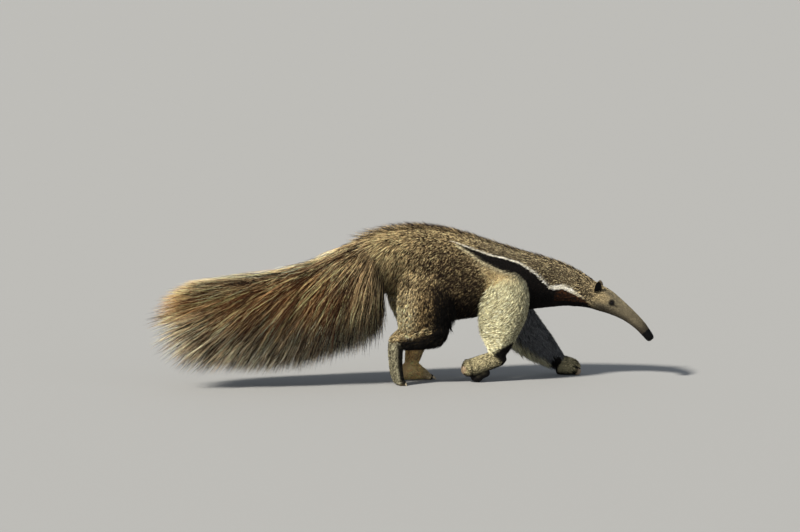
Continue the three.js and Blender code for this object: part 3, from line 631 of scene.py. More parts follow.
def newBall(name, segments, rings, radius=1):
    bpy.ops.object.select_all(action="DESELECT")
    bpy.ops.mesh.primitive_uv_sphere_add(segments=segments, ring_count=rings, radius=radius, location=(0, 0, 0))
    bpy.context.object.name = name
    return bpy.context.object


def extrude(steps, way=1):
    for _ in range(steps):
        bpy.ops.mesh.extrude_region_move(TRANSFORM_OT_translate={"value": (0, 0, way)})


def faceOutwards():
    bpy.ops.mesh.select_all(action="SELECT")
    bpy.ops.mesh.normals_make_consistent(inside=False)
    bpy.ops.object.mode_set(mode="OBJECT")


def finishWith(piece, kind, **settings):
    bpy.context.view_layer.objects.active = piece
    modifier = piece.modifiers.new(kind.lower(), kind)
    for key, value in settings.items():
        setattr(modifier, key, value)
    bpy.ops.object.modifier_apply(modifier=modifier.name)


# skin: tubes along the lines, fused by a remesh and softened
skinShape = {"voxel": 0.0073, "softening": 10, "footVoxel": 0.0031, "footSoftening": 4, "floorGap": 0.0003,
             "coatShare": 0.93}
toeRow = {"count": 5, "Right": {"centre": (-275, -98, 11), "spread": 62, "fan": 7, "radii": (16, 8, 12.5)},
          "Left": {"centre": (-119, 66, 10), "spread": 66, "fan": 9, "radii": (17, 8, 11.5)}}
palmPads = {"palmPad": ((40, -84, 22), (27, 29, 22)), "palmHeel": ((60, -84, 36), (34, 29, 21))}


def tubeOn(name, line, sides, rings, start=0.0, end=None, underCoat=True):
    # a circle is extruded ring by ring, and each ring then takes its section of the line
    end = len(line) - 1 if end is None else end
    tube = newDisc(name, sides)
    extrude(rings - 1)
    faceOutwards()
    spots = spotsOf(tube.data)
    place = start + np.round(spots[:, 2]) / (rings - 1) * (end - start)
    angle = np.degrees(np.arctan2(spots[:, 1], spots[:, 0]))
    putSpots(tube.data, onOutline(line, place, angle, underCoat=underCoat)[0])
    tube.select_set(False)
    return tube


def padAt(name, centre, radii):
    pad = newBall(name, 20, 12)
    putSpots(pad.data, spotsOf(pad.data) * np.array(radii) * 0.001 + np.array(centre) * 0.001 + moveBy)
    pad.select_set(False)
    return pad


def acrossFoot(row, centre, i):
    # a toe's place across the foot, and its spot on the bow that the toes stand in
    across = i / (toeRow["count"] - 1) - 0.5
    return across, (centre[0] - row["fan"] * 4 * across**2, centre[1] + across * row["spread"], centre[2])


def fused(pieces, voxel, softening):
    selectOnly(*pieces)
    bpy.ops.object.join()
    whole = bpy.context.object
    finishWith(whole, "REMESH", mode="VOXEL", voxel_size=voxel)
    finishWith(whole, "SMOOTH", factor=0.5, iterations=softening)
    whole.select_set(False)
    return whole


trunk = fused([
    tubeOn("skin", bodyLine, 64, 90),
    tubeOn("armRightForm", armRight, 32, 16),
    tubeOn("armLeftForm", armLeft, 32, 16),
    tubeOn("thighRightForm", thighRight, 32, 14),
    tubeOn("shankRightForm", shankRight, 28, 12),
    tubeOn("thighLeftForm", thighLeft, 32, 16),
], skinShape["voxel"], skinShape["softening"])
feet = fused([
    tubeOn("feet", pawRight, 28, 14),
    *(padAt(name, *pad) for name, pad in palmPads.items()),
    tubeOn("pawLeftForm", pawLeft, 28, 14),
    tubeOn("footRightForm", footRight, 28, 14),
    tubeOn("footLeftForm", footLeft, 28, 14),
    *(padAt("toe", acrossFoot(row, row["centre"], i)[1], row["radii"])
      for row in (toeRow["Right"], toeRow["Left"]) for i in range(toeRow["count"])),
], skinShape["footVoxel"], skinShape["footSoftening"])

# the crease behind the right paw's toes, and flat soles
spots = spotsOf(feet.data)
place, angle, share = placesOf(pawRight, spots)
crease = bump(place, toeCrease["place"], toeCrease["width"]) * (share > 0.8) * (share < 1.1)
crease = crease * ramp(np.sin(np.radians(angle)), -0.7, -0.2)
spots -= onOutline(pawRight, place, angle)[1] * (toeCrease["depth"] * crease)[:, None]
spots[:, 2] = np.maximum(spots[:, 2], skinShape["floorGap"])
putSpots(feet.data, spots)
print("skin fused:", len(trunk.data.polygons), "and feet", len(feet.data.polygons), "faces")

# the head takes finer faces, and goes back onto its line after the softening
headShape = {"from": 13.2, "fine": 13.7, "mouthDrop": 0.006, "mouthDepth": 0.0018, "mouthWide": 0.0013}


def setOnLine(mesh, chosen):
    spots = spotsOf(mesh)
    place, angle, _ = placesOf(bodyLine, spots[chosen])
    exact = onOutline(bodyLine, place, angle, underCoat=True)[0]
    share = ramp(place, headShape["from"], headShape["fine"])[:, None]
    spots[chosen] = between(spots[chosen], exact, share)
    putSpots(mesh, spots)


def headOf(spots):
    chosen = np.where((spots[:, 0] > bodyLine[nape][0] - 0.03) & (spots[:, 2] > 0.12))[0]
    place, angle, share = placesOf(bodyLine, spots[chosen])
    good = (share > 0.5) & (place > headShape["from"]) & (place < len(bodyLine) - 1.02)
    return chosen[good], place[good], angle[good]


def refine(piece, chosen, cuts):
    selectFaces(piece, chosen)
    bpy.ops.mesh.subdivide(number_cuts=cuts, smoothness=0)
    bpy.ops.object.mode_set(mode="OBJECT")
    setOnLine(piece.data, headOf(spotsOf(piece.data))[0])


setOnLine(trunk.data, headOf(spotsOf(trunk.data))[0])
centres = faceCentres(trunk.data)
chosen = np.zeros(len(centres), bool)
index, place, _ = headOf(centres)
chosen[index[place > headShape["fine"]]] = True
refine(trunk, chosen, 2)
seats = {side: eyeSeat(eyeShape[side + "Angle"]) for side in ("right", "left")}
for reach, cuts in ((0.02, 2), (0.012, 1)):
    centres = faceCentres(trunk.data)
    refine(trunk, np.any([np.linalg.norm(centres - seat, axis=1) < reach for seat, _ in seats.values()], axis=0), cuts)

# lids round each eye, and the mouth's slit
lidShape = {"long": 0.0070, "high": 0.0050, "lowShare": 0.82, "socket": 0.0075, "rim": 0.0015, "rimWide": 0.4,
            "fold": 0.0008, "foldWide": 0.16, "reach": 0.026}
spots = spotsOf(trunk.data)
eyeAhead = sectionsOn(bodyLine, eyeShape["place"])["ahead"][0]
for seat, out in seats.values():
    near = np.linalg.norm(spots - seat, axis=1) < lidShape["reach"]
    r = spots[near] - seat
    ahead = unit(eyeAhead - out * (eyeAhead @ out))
    over = np.cross(ahead, out)
    over *= np.sign(over[2])
    a, b = r @ ahead, r @ over
    q = np.hypot(a / lidShape["long"], b / np.where(b > 0, lidShape["high"], lidShape["high"] * lidShape["lowShare"]))
    socket = -lidShape["socket"] * (1 - ramp(q, 0.8, 1.0))
    rim = lidShape["rim"] * bump(q, 1.22, lidShape["rimWide"]) * ramp(q, 0.85, 1.0)
    fold = -lidShape["fold"] * bump(q, 1.95, lidShape["foldWide"]) * (b > 0)
    spots[near] += out * ((socket + rim + fold) * (r @ out > 0))[:, None]
index, place, angle = headOf(spots)
section = sectionsOn(bodyLine, place)
drop = ((spots[index] - section["centre"]) * section["above"]).sum(1) + headShape["mouthDrop"]
slit = bump(drop, 0, headShape["mouthWide"]) * ramp(place, 18.3, 18.8)
spots[index] -= onOutline(bodyLine, place, angle)[1] * (headShape["mouthDepth"] * slit)[:, None]
putSpots(trunk.data, spots)

selectOnly(trunk, feet)
bpy.ops.object.join()
skin = bpy.context.object
skin.name = "skin"
bpy.ops.object.shade_smooth()
skin.select_set(False)

# each spot of the skin takes the markings of the part whose outline it lies nearest to
eyeDarkAndShade = {"from": 0.0095, "to": 0.017, "dark": 0.95}
spots = spotsOf(skin.data)
bestGap = np.full(len(spots), 9.0)
skinColours = everywhere(spots, paints["umber"])
for part, line in lines.items():
    place, angle, share = placesOf(line, spots)
    gap = np.abs(share - skinShape["coatShare"])
    deep, tip, light = markingsOf[part](place, angle)
    under = mix(deep, tip, 0.35 * light)
    if part == "body":
        under = mix(under, mix(deep, tip, 0.6), ramp(place, 13.5, 14.5))
        better = gap < bestGap
    else:
        gap = np.where((place > 0.01) & (place < len(line) - 1.01), gap, 8)
        better = gap < bestGap - 0.02
    skinColours[better], bestGap[better] = under[better], gap[better]
# the skin round each eye goes dark, partly its own dark skin and partly painted socket shade
for seat, _ in seats.values():
    near = 1 - ramp(np.linalg.norm(spots - seat, axis=1), eyeDarkAndShade["from"], eyeDarkAndShade["to"])
    skinColours = mix(skinColours, paints["black"], eyeDarkAndShade["dark"] * near)
setColours(skin.data, skinColours)
dressed(skin, skinFinish, "brown_coat", "torso", "neck", "head", "tail", "forelegRight", "forelegLeft",
        "forepawRight", "forepawLeft", "hindlegRight", "hindlegLeft", "hindfootRight", "hindfootLeft")
skinTree = BVHTree.FromPolygons([Vector(v) for v in spots], [p.vertices[:] for p in skin.data.polygons])
print("skin painted:", len(skin.data.polygons), "faces")


# nose
noseShape = {"back": noseBack - 0.12, "front": noseFront + 0.93, "slitWide": 0.0012, "nostrilPlace": noseFront + 0.55,
             "nostrilAside": 0.0075, "nostrilUp": 0.0035, "nostrilAhead": 0.004, "nostrilDepth": 0.006,
             "nostrilInner": 0.0012, "nostrilOuter": 0.0032}
nosePad = tubeOn("nosePad", bodyLine, 36, 12, noseShape["back"], noseShape["front"], underCoat=False)
finishWith(nosePad, "SUBSURF", levels=2, render_levels=2)
spots = spotsOf(nosePad.data)
place, angle, _ = placesOf(bodyLine, spots)
section = sectionsOn(bodyLine, place)
drop = ((spots - section["centre"]) * section["above"]).sum(1) + headShape["mouthDrop"]
slit = bump(drop, 0, noseShape["slitWide"]) * headShape["mouthDepth"]
spots -= onOutline(bodyLine, place, angle)[1] * slit[:, None]
front = {key: value[0] for key, value in sectionsOn(bodyLine, noseShape["nostrilPlace"]).items()}
for side in (-1, 1):
    hole = front["centre"] + front["side"] * side * noseShape["nostrilAside"]
    hole = hole + front["above"] * noseShape["nostrilUp"] + front["ahead"] * noseShape["nostrilAhead"]
    opened = 1 - ramp(np.linalg.norm(spots - hole, axis=1), noseShape["nostrilInner"], noseShape["nostrilOuter"])
    spots += unit(front["centre"] - front["ahead"] * 0.012 - hole) * (noseShape["nostrilDepth"] * opened)[:, None]
putSpots(nosePad.data, spots)
selectOnly(nosePad)
bpy.ops.object.shade_smooth()
dressed(nosePad, plainFinish("noseSkin", paint(4, 4, 4), 0.5, 0.0004, 900, 0.1), "nose_skin", "nose")

# eyes
eyeFinish = plainFinish("wetEye", paint(6, 4, 3), 0.12, gloss=0.22)
for side in ("Right", "Left"):
    ball = newBall("eyeball" + side, 32, 20, eyeShape["radius"])
    bpy.ops.object.shade_smooth()
    putSpots(ball.data, spotsOf(ball.data) + seats[side.lower()][0])
    dressed(ball, eyeFinish, "eye", "eye" + side)

# ears: a cupped shell that leans back a little at its tip
earShape = {"place": cheek + 0.3, "height": 0.046, "width": 0.033, "thick": 0.010, "cup": -0.45, "cupShare": 0.86,
            "leanBack": 0.25, "rootIn": 0.005}
earFinish = coatFinish("earCoat", 0.7, 0.0005, 500)
earFrames = {}


def earOf(side, angle, sideways):
    ring = {key: value[0] for key, value in sectionsOn(bodyLine, earShape["place"]).items()}
    point, out = (v[0] for v in onOutline(bodyLine, earShape["place"], angle))
    tall = unit(ring["above"] * 1.1 + out * 0.55 - ring["ahead"] * 0.35)
    facing = unit(ring["side"] * sideways + ring["ahead"] * 0.75)
    across = unit(np.cross(tall, facing))
    facing = np.cross(across, tall)
    shell = newBall("earCup" + side, 40, 28)
    spots = spotsOf(shell.data)
    front = spots[:, 0] > 0
    inside = front & (np.hypot(spots[:, 1], spots[:, 2] * 0.9) < earShape["cupShare"])
    spots[front, 0] *= np.where(inside[front], earShape["cup"], 0.2)  # the front goes in as a cup
    rim = ramp(np.hypot(spots[:, 1], spots[:, 2]), 0.72, 0.95)
    colours = mix(everywhere(spots, paints["umber"]), paints["face"], np.where(front, 0.08 * rim, 0.25))
    colours[inside] = paints["black"]
    size = np.array([earShape["thick"], earShape["width"] / 2, earShape["height"] / 2 + earShape["rootIn"]])
    spots = spots * size
    spots[:, 0] -= earShape["leanBack"] * spots[:, 2] ** 2 / size[2]
    seat = point + tall * (earShape["height"] / 2 - earShape["rootIn"])
    putSpots(shell.data, seat + spots @ np.array([facing, across, tall]))
    bpy.ops.object.mode_set(mode="EDIT")
    faceOutwards()
    bpy.ops.object.shade_smooth()
    setColours(shell.data, colours)
    dressed(shell, earFinish, "ear_coat", "ear" + side)
    earFrames[side] = (seat, facing, across, tall, size)


earOf("Right", 155, -1)
earOf("Left", 18, 1)

# claws: roots and sizes in millimetres, aims and the axes that they bend round
clawShape = {"sides": 12, "rings": 10, "flatten": 1.7, "floorGap": 0.0006}
hindClaws = {
    "Right": {"centre": (-268, -98, 14), "aim": (0.8, -0.45)},
    "Left": {"centre": (-111, 66, 12), "aim": (0.9, -0.1)},
    "fanOut": 0.35, "bend": (0, 1, 0), "curl": 38, "length": 27, "deep": 9, "wide": 6.5,
}
foreClaws = {
    # a claw's place across the paw, and its length, depth and width
    "sizes": ((-0.5, 36, 11, 7), (-0.18, 50, 15, 9), (0.18, 62, 19, 11), (0.5, 38, 12, 8)),
    "Right": {"root": (-12, -84, 64), "step": (0, 48, 0), "aim": (-0.8, 0, -0.5), "bend": (0, -1, 0), "curl": 125},
    "Left": {"root": (502, 52, 26), "step": (12, 44, 0), "aim": (0.8, -0.5, -0.25), "bend": (0.25, 0.5, -0.8),
             "curl": 110},
}
clawFinish = plainFinish("horn", paint(188, 172, 142), 0.38, 0.0003, 700)
wornFinish = plainFinish("wornHorn", paint(142, 122, 98), 0.4, 0.0003, 700)


def clawOf(name, material, root, aim, bend, curl, length, deep, wide):
    # a disc drawn out to a point, and then laid along a curl
    rings = clawShape["rings"]
    horn = newDisc(name.replace("claw", "Nail"), clawShape["sides"])
    extrude(rings)
    bpy.ops.mesh.merge(type="CENTER")
    faceOutwards()
    spots = spotsOf(horn.data)
    ring = np.round(spots[:, 2]).astype(int)
    axis, way = unit(np.array(bend, float)), unit(np.array(aim, float))
    at = np.array(root, float) * 0.001 + moveBy
    centresAt, overs = [at], [unit(np.cross(axis, way))]
    for k in range(rings):
        turn = math.radians(curl * (4 * (k + 0.5) / rings + 0.5) / 3)
        turned = np.array(Matrix.Rotation(turn, 3, Vector(axis)) @ Vector(way))
        at = at + turned * length * 0.001 / rings
        centresAt.append(at)
        overs.append(unit(np.cross(axis, turned)))
    taper = (1 - (ring / rings) ** clawShape["flatten"])[:, None] * 0.0005
    spots = (np.array(centresAt)[ring] + axis * spots[:, :1] * wide * taper
             + np.array(overs)[ring] * spots[:, 1:2] * deep * taper)
    spots[:, 2] = np.maximum(spots[:, 2], clawShape["floorGap"])
    putSpots(horn.data, spots)
    bpy.ops.object.shade_smooth()
    dressed(horn, material, "claw", name)


for side in ("Right", "Left"):
    for i in range(toeRow["count"]):
        across, root = acrossFoot(toeRow[side], hindClaws[side]["centre"], i)
        forward, down = hindClaws[side]["aim"]
        clawOf(f"hindclaw{side}{i + 1}", clawFinish, root, (forward, across * hindClaws["fanOut"], down),
               *(hindClaws[key] for key in ("bend", "curl", "length", "deep", "wide")))
for i, (across, length, deep, wide) in enumerate(foreClaws["sizes"]):
    for side in ("Right", "Left"):
        claw = foreClaws[side]
        root = np.array(claw["root"]) + np.array(claw["step"]) * across
        clawOf(f"foreclaw{side}{i + 1}", wornFinish, root, claw["aim"], claw["bend"], claw["curl"], length, deep, wide)
print("head fittings and claws made")


# hair: one blade is modelled, and the coat is that blade copied along combed paths
def modelBlade(rings):
    blade = newDisc("blade", 3)
    extrude(1, -1)
    bpy.ops.mesh.merge(type="CENTER")
    bpy.ops.object.mode_set(mode="OBJECT")
    selectFaces(blade, faceCentres(blade.data)[:, 2] > -0.1)
    extrude(rings - 1)
    bpy.ops.mesh.merge(type="CENTER")
    bpy.ops.mesh.select_all(action="SELECT")
    bpy.ops.mesh.quads_convert_to_tris()
    faceOutwards()
    spots = spotsOf(blade.data) + upward
    faces = np.array([p.vertices[:] for p in blade.data.polygons])
    bpy.data.objects.remove(blade)
    return {"rings": rings, "spots": spots, "faces": faces}


def tableAt(values, place):
    # a value is one number, or places on a line and the values there
    return np.interp(place, *values) if isinstance(values, tuple) else values


def spread(line, places, angles, spacing):
    # roots in rings a spacing in millimetres apart, shaken out of their rows
    grid = np.linspace(*places, 240)
    steps = np.linalg.norm(np.diff(sectionsOn(line, grid)["centre"], axis=0), axis=1)
    run = np.concatenate([[0], np.cumsum(steps)])
    rootPlaces, turns, at = [], [], 0.0
    while at < run[-1]:
        place = np.interp(at, run, grid)
        gap = tableAt(spacing, place) * 0.001
        s = sectionsOn(line, place)
        a, b = s["wide"][0, 0], (s["up"][0, 0] + s["down"][0, 0]) / 2
        around = math.pi * (3 * (a + b) - math.sqrt((3 * a + b) * (a + 3 * b))) * (angles[1] - angles[0]) / 360
        count = max(2, round(around / gap))
        turn = (np.arange(count) + 0.5 + rng.uniform(-0.5, 0.5, count)) / count
        shake = np.interp(at + gap, run, grid) - place
        rootPlaces.append(place + shake * 0.5 * rng.uniform(-1, 1, count))
        turns.append(angles[0] + turn * (angles[1] - angles[0]))
        at += gap
    return np.concatenate(rootPlaces), np.concatenate(turns)


def rootsOn(part, places, angles, spacing, reach=0.011):
    # each root goes to the skin's surface with its markings, and those under another part are left out
    place, angle = spread(lines[part], places, angles, spacing)
    point, out = onOutline(lines[part], place, angle, underCoat=True)
    found = [skinTree.find_nearest(Vector(p)) for p in point]
    spot, normal = (np.array([f[k][:] for f in found]) for k in (0, 1))
    keep = (np.array([f[3] for f in found]) < reach) & ((normal * out).sum(1) > 0.3)
    place, angle, spot, out = place[keep], angle[keep], spot[keep], unit(normal[keep] + 0.6 * out[keep])
    deep, tip, light = markingsOf[part](place, angle)
    # a hair's small patch lies at its root's place on the skin unwrapped along the line
    flat = np.stack([(place - places[0]) / (places[1] - places[0]), (angle - angles[0]) / (angles[1] - angles[0])], 1)
    return {"place": place, "angle": angle, "point": spot, "out": out, "deep": deep, "tip": tip, "light": light,
            "patch": 0.02 + 0.96 * np.clip(flat, 0, 1)}


def clumps(points, each):
    # every root joins the nearest of some leading roots
    count = max(1, len(points) // each)
    leaders = rng.choice(len(points), count, replace=False)
    tree = KDTree(count)
    for i, leader in enumerate(leaders):
        tree.insert(Vector(points[leader]), i)
    tree.balance()
    return leaders, np.array([tree.find(Vector(p))[1] for p in points])


def keptWithin(curve, own, edges):
    # blades that would leave the outline are cut to end at it, and those too far aside are drawn in
    scale = np.ones(len(curve))
    for _ in range(26):
        ends = curve[:, 0] + (curve[:, -1] - curve[:, 0]) * scale[:, None]
        x, z = ends[:, 0] - moveBy[0], ends[:, 2]
        past = (z < np.interp(x, *edges["low"])) | (z > np.interp(x, *edges["high"])) | (x < edges["low"][0][0])
        scale = np.where(past, scale * 0.965, scale)
    scale = np.where(scale < 1, scale * np.clip(1 + 0.1 * own[:, 3], 0.75, 1.1), scale)
    curve = curve[:, :1] + (curve - curve[:, :1]) * scale[:, None, None]
    wide, limit = np.abs(curve[:, :, 1]), edges["wideFrom"]
    wide = np.where(wide > limit, limit + (wide - limit) * edges["wideShare"], wide)
    curve[:, :, 1] = np.sign(curve[:, :, 1]) * wide
    return curve


def curvesOf(hairs, style, leaders, sway, own):
    # the points that each blade runs through, from its sunk foot to its tip, and its headings there
    out, rings, wander = hairs["out"], style["blade"]["rings"], style["wander"]
    side = unit(np.cross(out, hairs["start"]))
    lean = side * (wander * sway[:, :1] + 0.5 * wander * own[:, :1])
    lean = lean + out * (0.5 * wander * sway[:, 1:2] + 0.35 * wander * own[:, 1:2])
    start, end = unit(hairs["start"] + lean * 0.6), unit(hairs["end"] + lean)
    length = hairs["length"] * np.clip(1 + style["uneven"] * (0.6 * sway[:, 2] + 0.8 * own[:, 2]), 0.45, 1.3)
    sink = np.minimum(style["sink"], 0.1 * length)[:, None]
    curve, headings = [hairs["point"] - out * sink], []
    for k in range(rings):
        headings.append(unit(between(start, end, k / (rings - 1))))
        curve.append(curve[-1] + headings[-1] * (length[:, None] + sink) / rings)
    curve, headings = np.stack(curve, 1), np.stack(headings + headings[-1:], 1)
    t = np.linspace(0, 1, rings + 1)
    curve = curve + (curve[leaders] - curve) * style["gather"] * t[None, :, None] ** 1.4
    if "wave" in style:
        phase = (sway[:, 4] + 0.5 * own[:, 2])[:, None]
        bends = np.sin(2 * np.pi * (1.6 * t[None] + phase)) * t[None] * (style["wave"] * (1 + 0.4 * own[:, :1]))
        curve = curve + (side * 0.5 + np.cross(side, hairs["end"]) * 0.9)[:, None] * bends[:, :, None]
    if "within" in style:
        curve = keptWithin(curve, own, style["within"])
    curve[:, :, 2] = np.maximum(curve[:, :, 2], 0.001)
    return curve, headings


def coloursOf(hairs, style, sway, own, depth):
    # from the foot, darkened as painted shade deep in the coat, to the tip, which only a share of the hairs have light
    chance = (style["locked"] * sway[:, 0] + own[:, 2]).argsort().argsort() / len(own)
    tone = np.exp(style["tone"] * np.clip(0.6 * sway[:, 3] + 0.8 * own[:, 4], -2, 1))[:, None, None]
    deep = hairs["deep"]
    bright = np.where((chance < hairs["light"])[:, None], hairs["tip"], deep * 0.9)
    foot, middle, tip = (x[:, None] for x in (
        deep * style["foot"], mix(deep, bright, style["middle"]), mix(deep, bright, style["tips"])))
    toMiddle, toTip = (np.clip(x, 0, 1)[None, :, None] for x in (depth / 0.55, (depth - 0.55) / 0.45))
    return np.minimum(between(between(foot, middle, toMiddle), tip, toTip) * tone, 0.9)


def growHair(name, style, roots, lying, startLift, endLift, length, width):
    # hairs leave the skin by the first lift and end by the second, unless their roots bring their own end.
    # lengths and widths are in millimetres
    n, blade, out = len(roots["point"]), style["blade"], roots["out"]
    leaders, group = clumps(roots["point"], style["clump"])
    sway = rng.normal(0, 1, (len(leaders), 5))[group]  # what a clump shares
    own = rng.normal(0, 1, (n, 5))
    hairs = {"start": unit(lying + out * startLift), "end": unit(lying + out * endLift), "length": length * 0.001,
             **roots}
    curve, headings = curvesOf(hairs, style, leaders[group], sway, own)
    across = unit(np.cross(out[:, None], headings))
    through = np.cross(headings, across)
    spots, ring = blade["spots"], np.round(blade["spots"][:, 2]).astype(int)
    depth = ring / blade["rings"]
    taper = (0.75 + 0.9 * depth - 1.65 * depth**2)[None, :, None]
    width = (width * 0.0005 * np.clip(1 + 0.22 * own[:, 3], 0.5, 1.6))[:, None, None]
    body = curve[:, ring] + across[:, ring] * spots[None, :, :1] * taper * width
    body = body + through[:, ring] * spots[None, :, 1:2] * taper * width * style["thick"]
    patch = hairs["patch"][:, None] + np.stack([spots[:, 0] * 0.0013, (depth - 0.5) * 0.003], 1)[None]
    faces = (blade["faces"][None] + (np.arange(n) * len(spots))[:, None, None]).reshape(-1, 3)
    mesh = bpy.data.meshes.new(name)
    mesh.vertices.add(n * len(spots))
    putSpots(mesh, body)
    mesh.loops.add(faces.size)
    mesh.loops.foreach_set("vertex_index", faces.astype(np.int32).ravel())
    mesh.polygons.add(len(faces))
    mesh.polygons.foreach_set("loop_start", np.arange(0, faces.size, 3, dtype=np.int32))
    mesh.polygons.foreach_set("use_smooth", np.ones(len(faces), bool))
    mesh.update(calc_edges=True)
    setColours(mesh, coloursOf(hairs, style, sway, own, depth).reshape(-1, 3))
    layer = mesh.uv_layers.new(name="OFBake")
    layer.data.foreach_set("uv", patch.reshape(-1, 2)[faces.ravel()].astype(np.float32).ravel())
    piece = bpy.data.objects.new(name, mesh)
    bpy.context.collection.objects.link(piece)
    dressed(piece, style["finish"], style["slot"])
    print(name, n, "blades,", len(faces), "triangles")


def onto(way, out, full=1.0):
    # a direction laid onto the surface
    against = (way * out).sum(1, keepdims=True)
    return unit(way - out * np.where(against < 0, against, against * full))


def backwards(fall):
    fall = np.radians(fall)
    return unit(np.stack([-np.cos(fall), np.zeros_like(fall), -np.sin(fall)], 1))


# how hair grows: hairs in a clump and how far it closes, how far they stray and differ in length, how deep they
# root, their thickness, the light in their middle and tips, how their tones differ, the light left at the foot,
# and how far a clump shares one colour. the other coats name what is different in them
flankHair = {
    "blade": modelBlade(2), "clump": 2, "gather": 0.0, "wander": 0.12, "uneven": 0.26, "sink": 0.002, "thick": 0.5,
    "middle": 0.66, "tips": 1.2, "tone": 0.62, "foot": 0.3, "locked": 0.0, "finish": hairFinish, "slot": "brown_coat",
}

# the trunk's bristles lie back and fall down the sides, and grow longer over the haunches and the belly
trunkHair = {
    "fall": ([5, 6, 7, 8, 10, 12, 13.5], [60, 64, 50, 34, 24, 14, 6]), "ridgeFall": ([5, 6, 7.5], [26, 12, -8]),
    "length": ([4.9, 5.5, 6.1, 6.8, 8, 10, 12, 13, 14], [100, 64, 34, 20, 15, 15, 15, 12, 9]),
    "width": ([5, 8, 12, 13.5], [2.9, 2.6, 2.3, 1.9]), "lift": ([5, 7, 13, 14], [0.24, 0.34, 0.3, 0.22]),
    "spacingShare": ([5, 8, 10, 12, 13.4], [1.15, 1, 1, 0.9, 0.8]), "rightSpacing": 2.8, "leftSpacing": 4.1,
    "bellyFall": 40, "bellyLonger": 1.8, "bellyLift": 0.6, "bandLength": 12, "bandGrowth": 1.68, "lighter": 1.2,
}


def flowOf(place, angle):
    side = ramp(foldOf(angle), 10, 75)
    fall = np.interp(place, *trunkHair["fall"]) * side
    fall = fall + trunkHair["bellyFall"] * ramp(foldOf(angle), 105, 140) * zone(place, 6.6, 7.4, 9.4, 10.6)
    way = backwards(fall + np.interp(place, *trunkHair["ridgeFall"]) * (1 - side))
    alongNeck = -sectionsOn(bodyLine, place)["ahead"] - upward * 0.2 * side[:, None]
    return unit(mix(way, alongNeck, ramp(place, 11.2, 12.6)))


def trunkCoat(name, places, angles, spacing):
    at, shares = trunkHair["spacingShare"]
    roots = rootsOn("body", places, angles, (at, np.array(shares) * spacing))
    place, angle = roots["place"], roots["angle"]
    fold = foldOf(angle)
    belly = ramp(fold, 112, 146) * zone(place, 6.6, 7.4, 9.4, 10.6)
    length = np.interp(place, *trunkHair["length"]) * (1 + trunkHair["bellyLonger"] * belly)
    # hair is shorter by the band, which keeps its edges clear
    fromLower = np.where(place < 11.2, np.abs(fold - np.interp(place, *band["lower"])), 90)
    away = np.minimum(np.abs(fold - np.interp(place, *band["upper"])), fromLower)
    beside = np.minimum(length, trunkHair["bandLength"] + trunkHair["bandGrowth"] * away)
    length = np.where((place > 8.1) & (place < 14.5), beside, length)
    lift = (np.interp(place, *trunkHair["lift"]) + trunkHair["bellyLift"] * belly)[:, None]
    roots["light"] *= trunkHair["lighter"]
    growHair(name, flankHair, roots, onto(flowOf(place, angle), roots["out"]), lift, 0.1, length,
             np.interp(place, *trunkHair["width"]))


allRound = (0, 360)
for coat, places in {"rump": (4.95, 8.0), "flank": (8.0, 13.6)}.items():
    trunkCoat(coat + "CoatRight", places, (90, 270), trunkHair["rightSpacing"])
    trunkCoat(coat + "CoatLeft", places, (-90, 90), trunkHair["leftSpacing"])

# the mane stands along the back from the neck to the rump
maneHair = dict(flankHair, gather=0.1, wander=0.24, uneven=0.4, sink=0.003, middle=0.8, tips=1.0, tone=0.45, foot=0.5,
                locked=0.3)
mane = {
    "places": (5.0, 13.9), "angles": (74, 106), "spacing": ([5, 13], [4.2, 3.5]), "width": 2.2, "lighter": 0.9,
    "fall": ([5, 6, 7.5, 9, 12], [24, 10, -8, -16, -22]), "startLift": 0.62, "endLift": 0.34,
    "length": ([5, 6.5, 9, 11, 12.5, 13.2, 13.9], [80, 50, 38, 34, 30, 22, 12]),
}
roots = rootsOn("body", mane["places"], mane["angles"], mane["spacing"])
roots["light"] *= mane["lighter"]
growHair("mane", maneHair, roots, onto(backwards(tableAt(mane["fall"], roots["place"])), roots["out"]),
         mane["startLift"], mane["endLift"], tableAt(mane["length"], roots["place"]), mane["width"])

# the tail's plume: falls and lengths at the angles of the solids' rows of locks, at the front and the rear,
# and the lines in millimetres that its blades end at
plume = {
    "places": (0.3, 5.2), "frontAt": -0.40, "rearAt": -0.93, "angles": [-90, -52, -8, 28, 60, 90],
    "fallFront": [84, 84, 79, 70, 50, 30], "fallRear": [56, 46, 30, 14, 0, -8],
    "lengthFront": [190, 205, 290, 335, 262, 150], "lengthRear": [310, 330, 330, 330, 330, 300],
    "fallEnd": ([-90, 0, 90], [56, 18, -20]), "wideFrom": 0.13, "wideShare": 0.35,
    "low": np.array([
        (-1260, 217), (-1240, 149), (-1184, 108), (-1133, 72), (-1045, 74), (-912, 70), (-762, 66), (-681, 72),
        (-599, 88), (-534, 112), (-464, 124), (-394, 134), (-341, 196), (-300, 280)]).T * 0.001,
    "high": np.array([
        (-1260, 240), (-1255, 284), (-1230, 346), (-1178, 389), (-1110, 422), (-1002, 437), (-910, 450), (-777, 457),
        (-639, 487), (-517, 535), (-381, 590), (-287, 640)]).T * 0.001,
}
plumeHair = dict(flankHair, blade=modelBlade(4), clump=4, gather=0.3, wander=0.17, uneven=0.2, sink=0.004, thick=0.6,
                 middle=0.85, tips=1.0, tone=0.55, locked=0.5, wave=0.006, within=plume, finish=strandFinish,
                 slot="tail_hair")
fringeHair = dict(plumeHair, clump=7, gather=0.4, wander=0.15, locked=0.9)


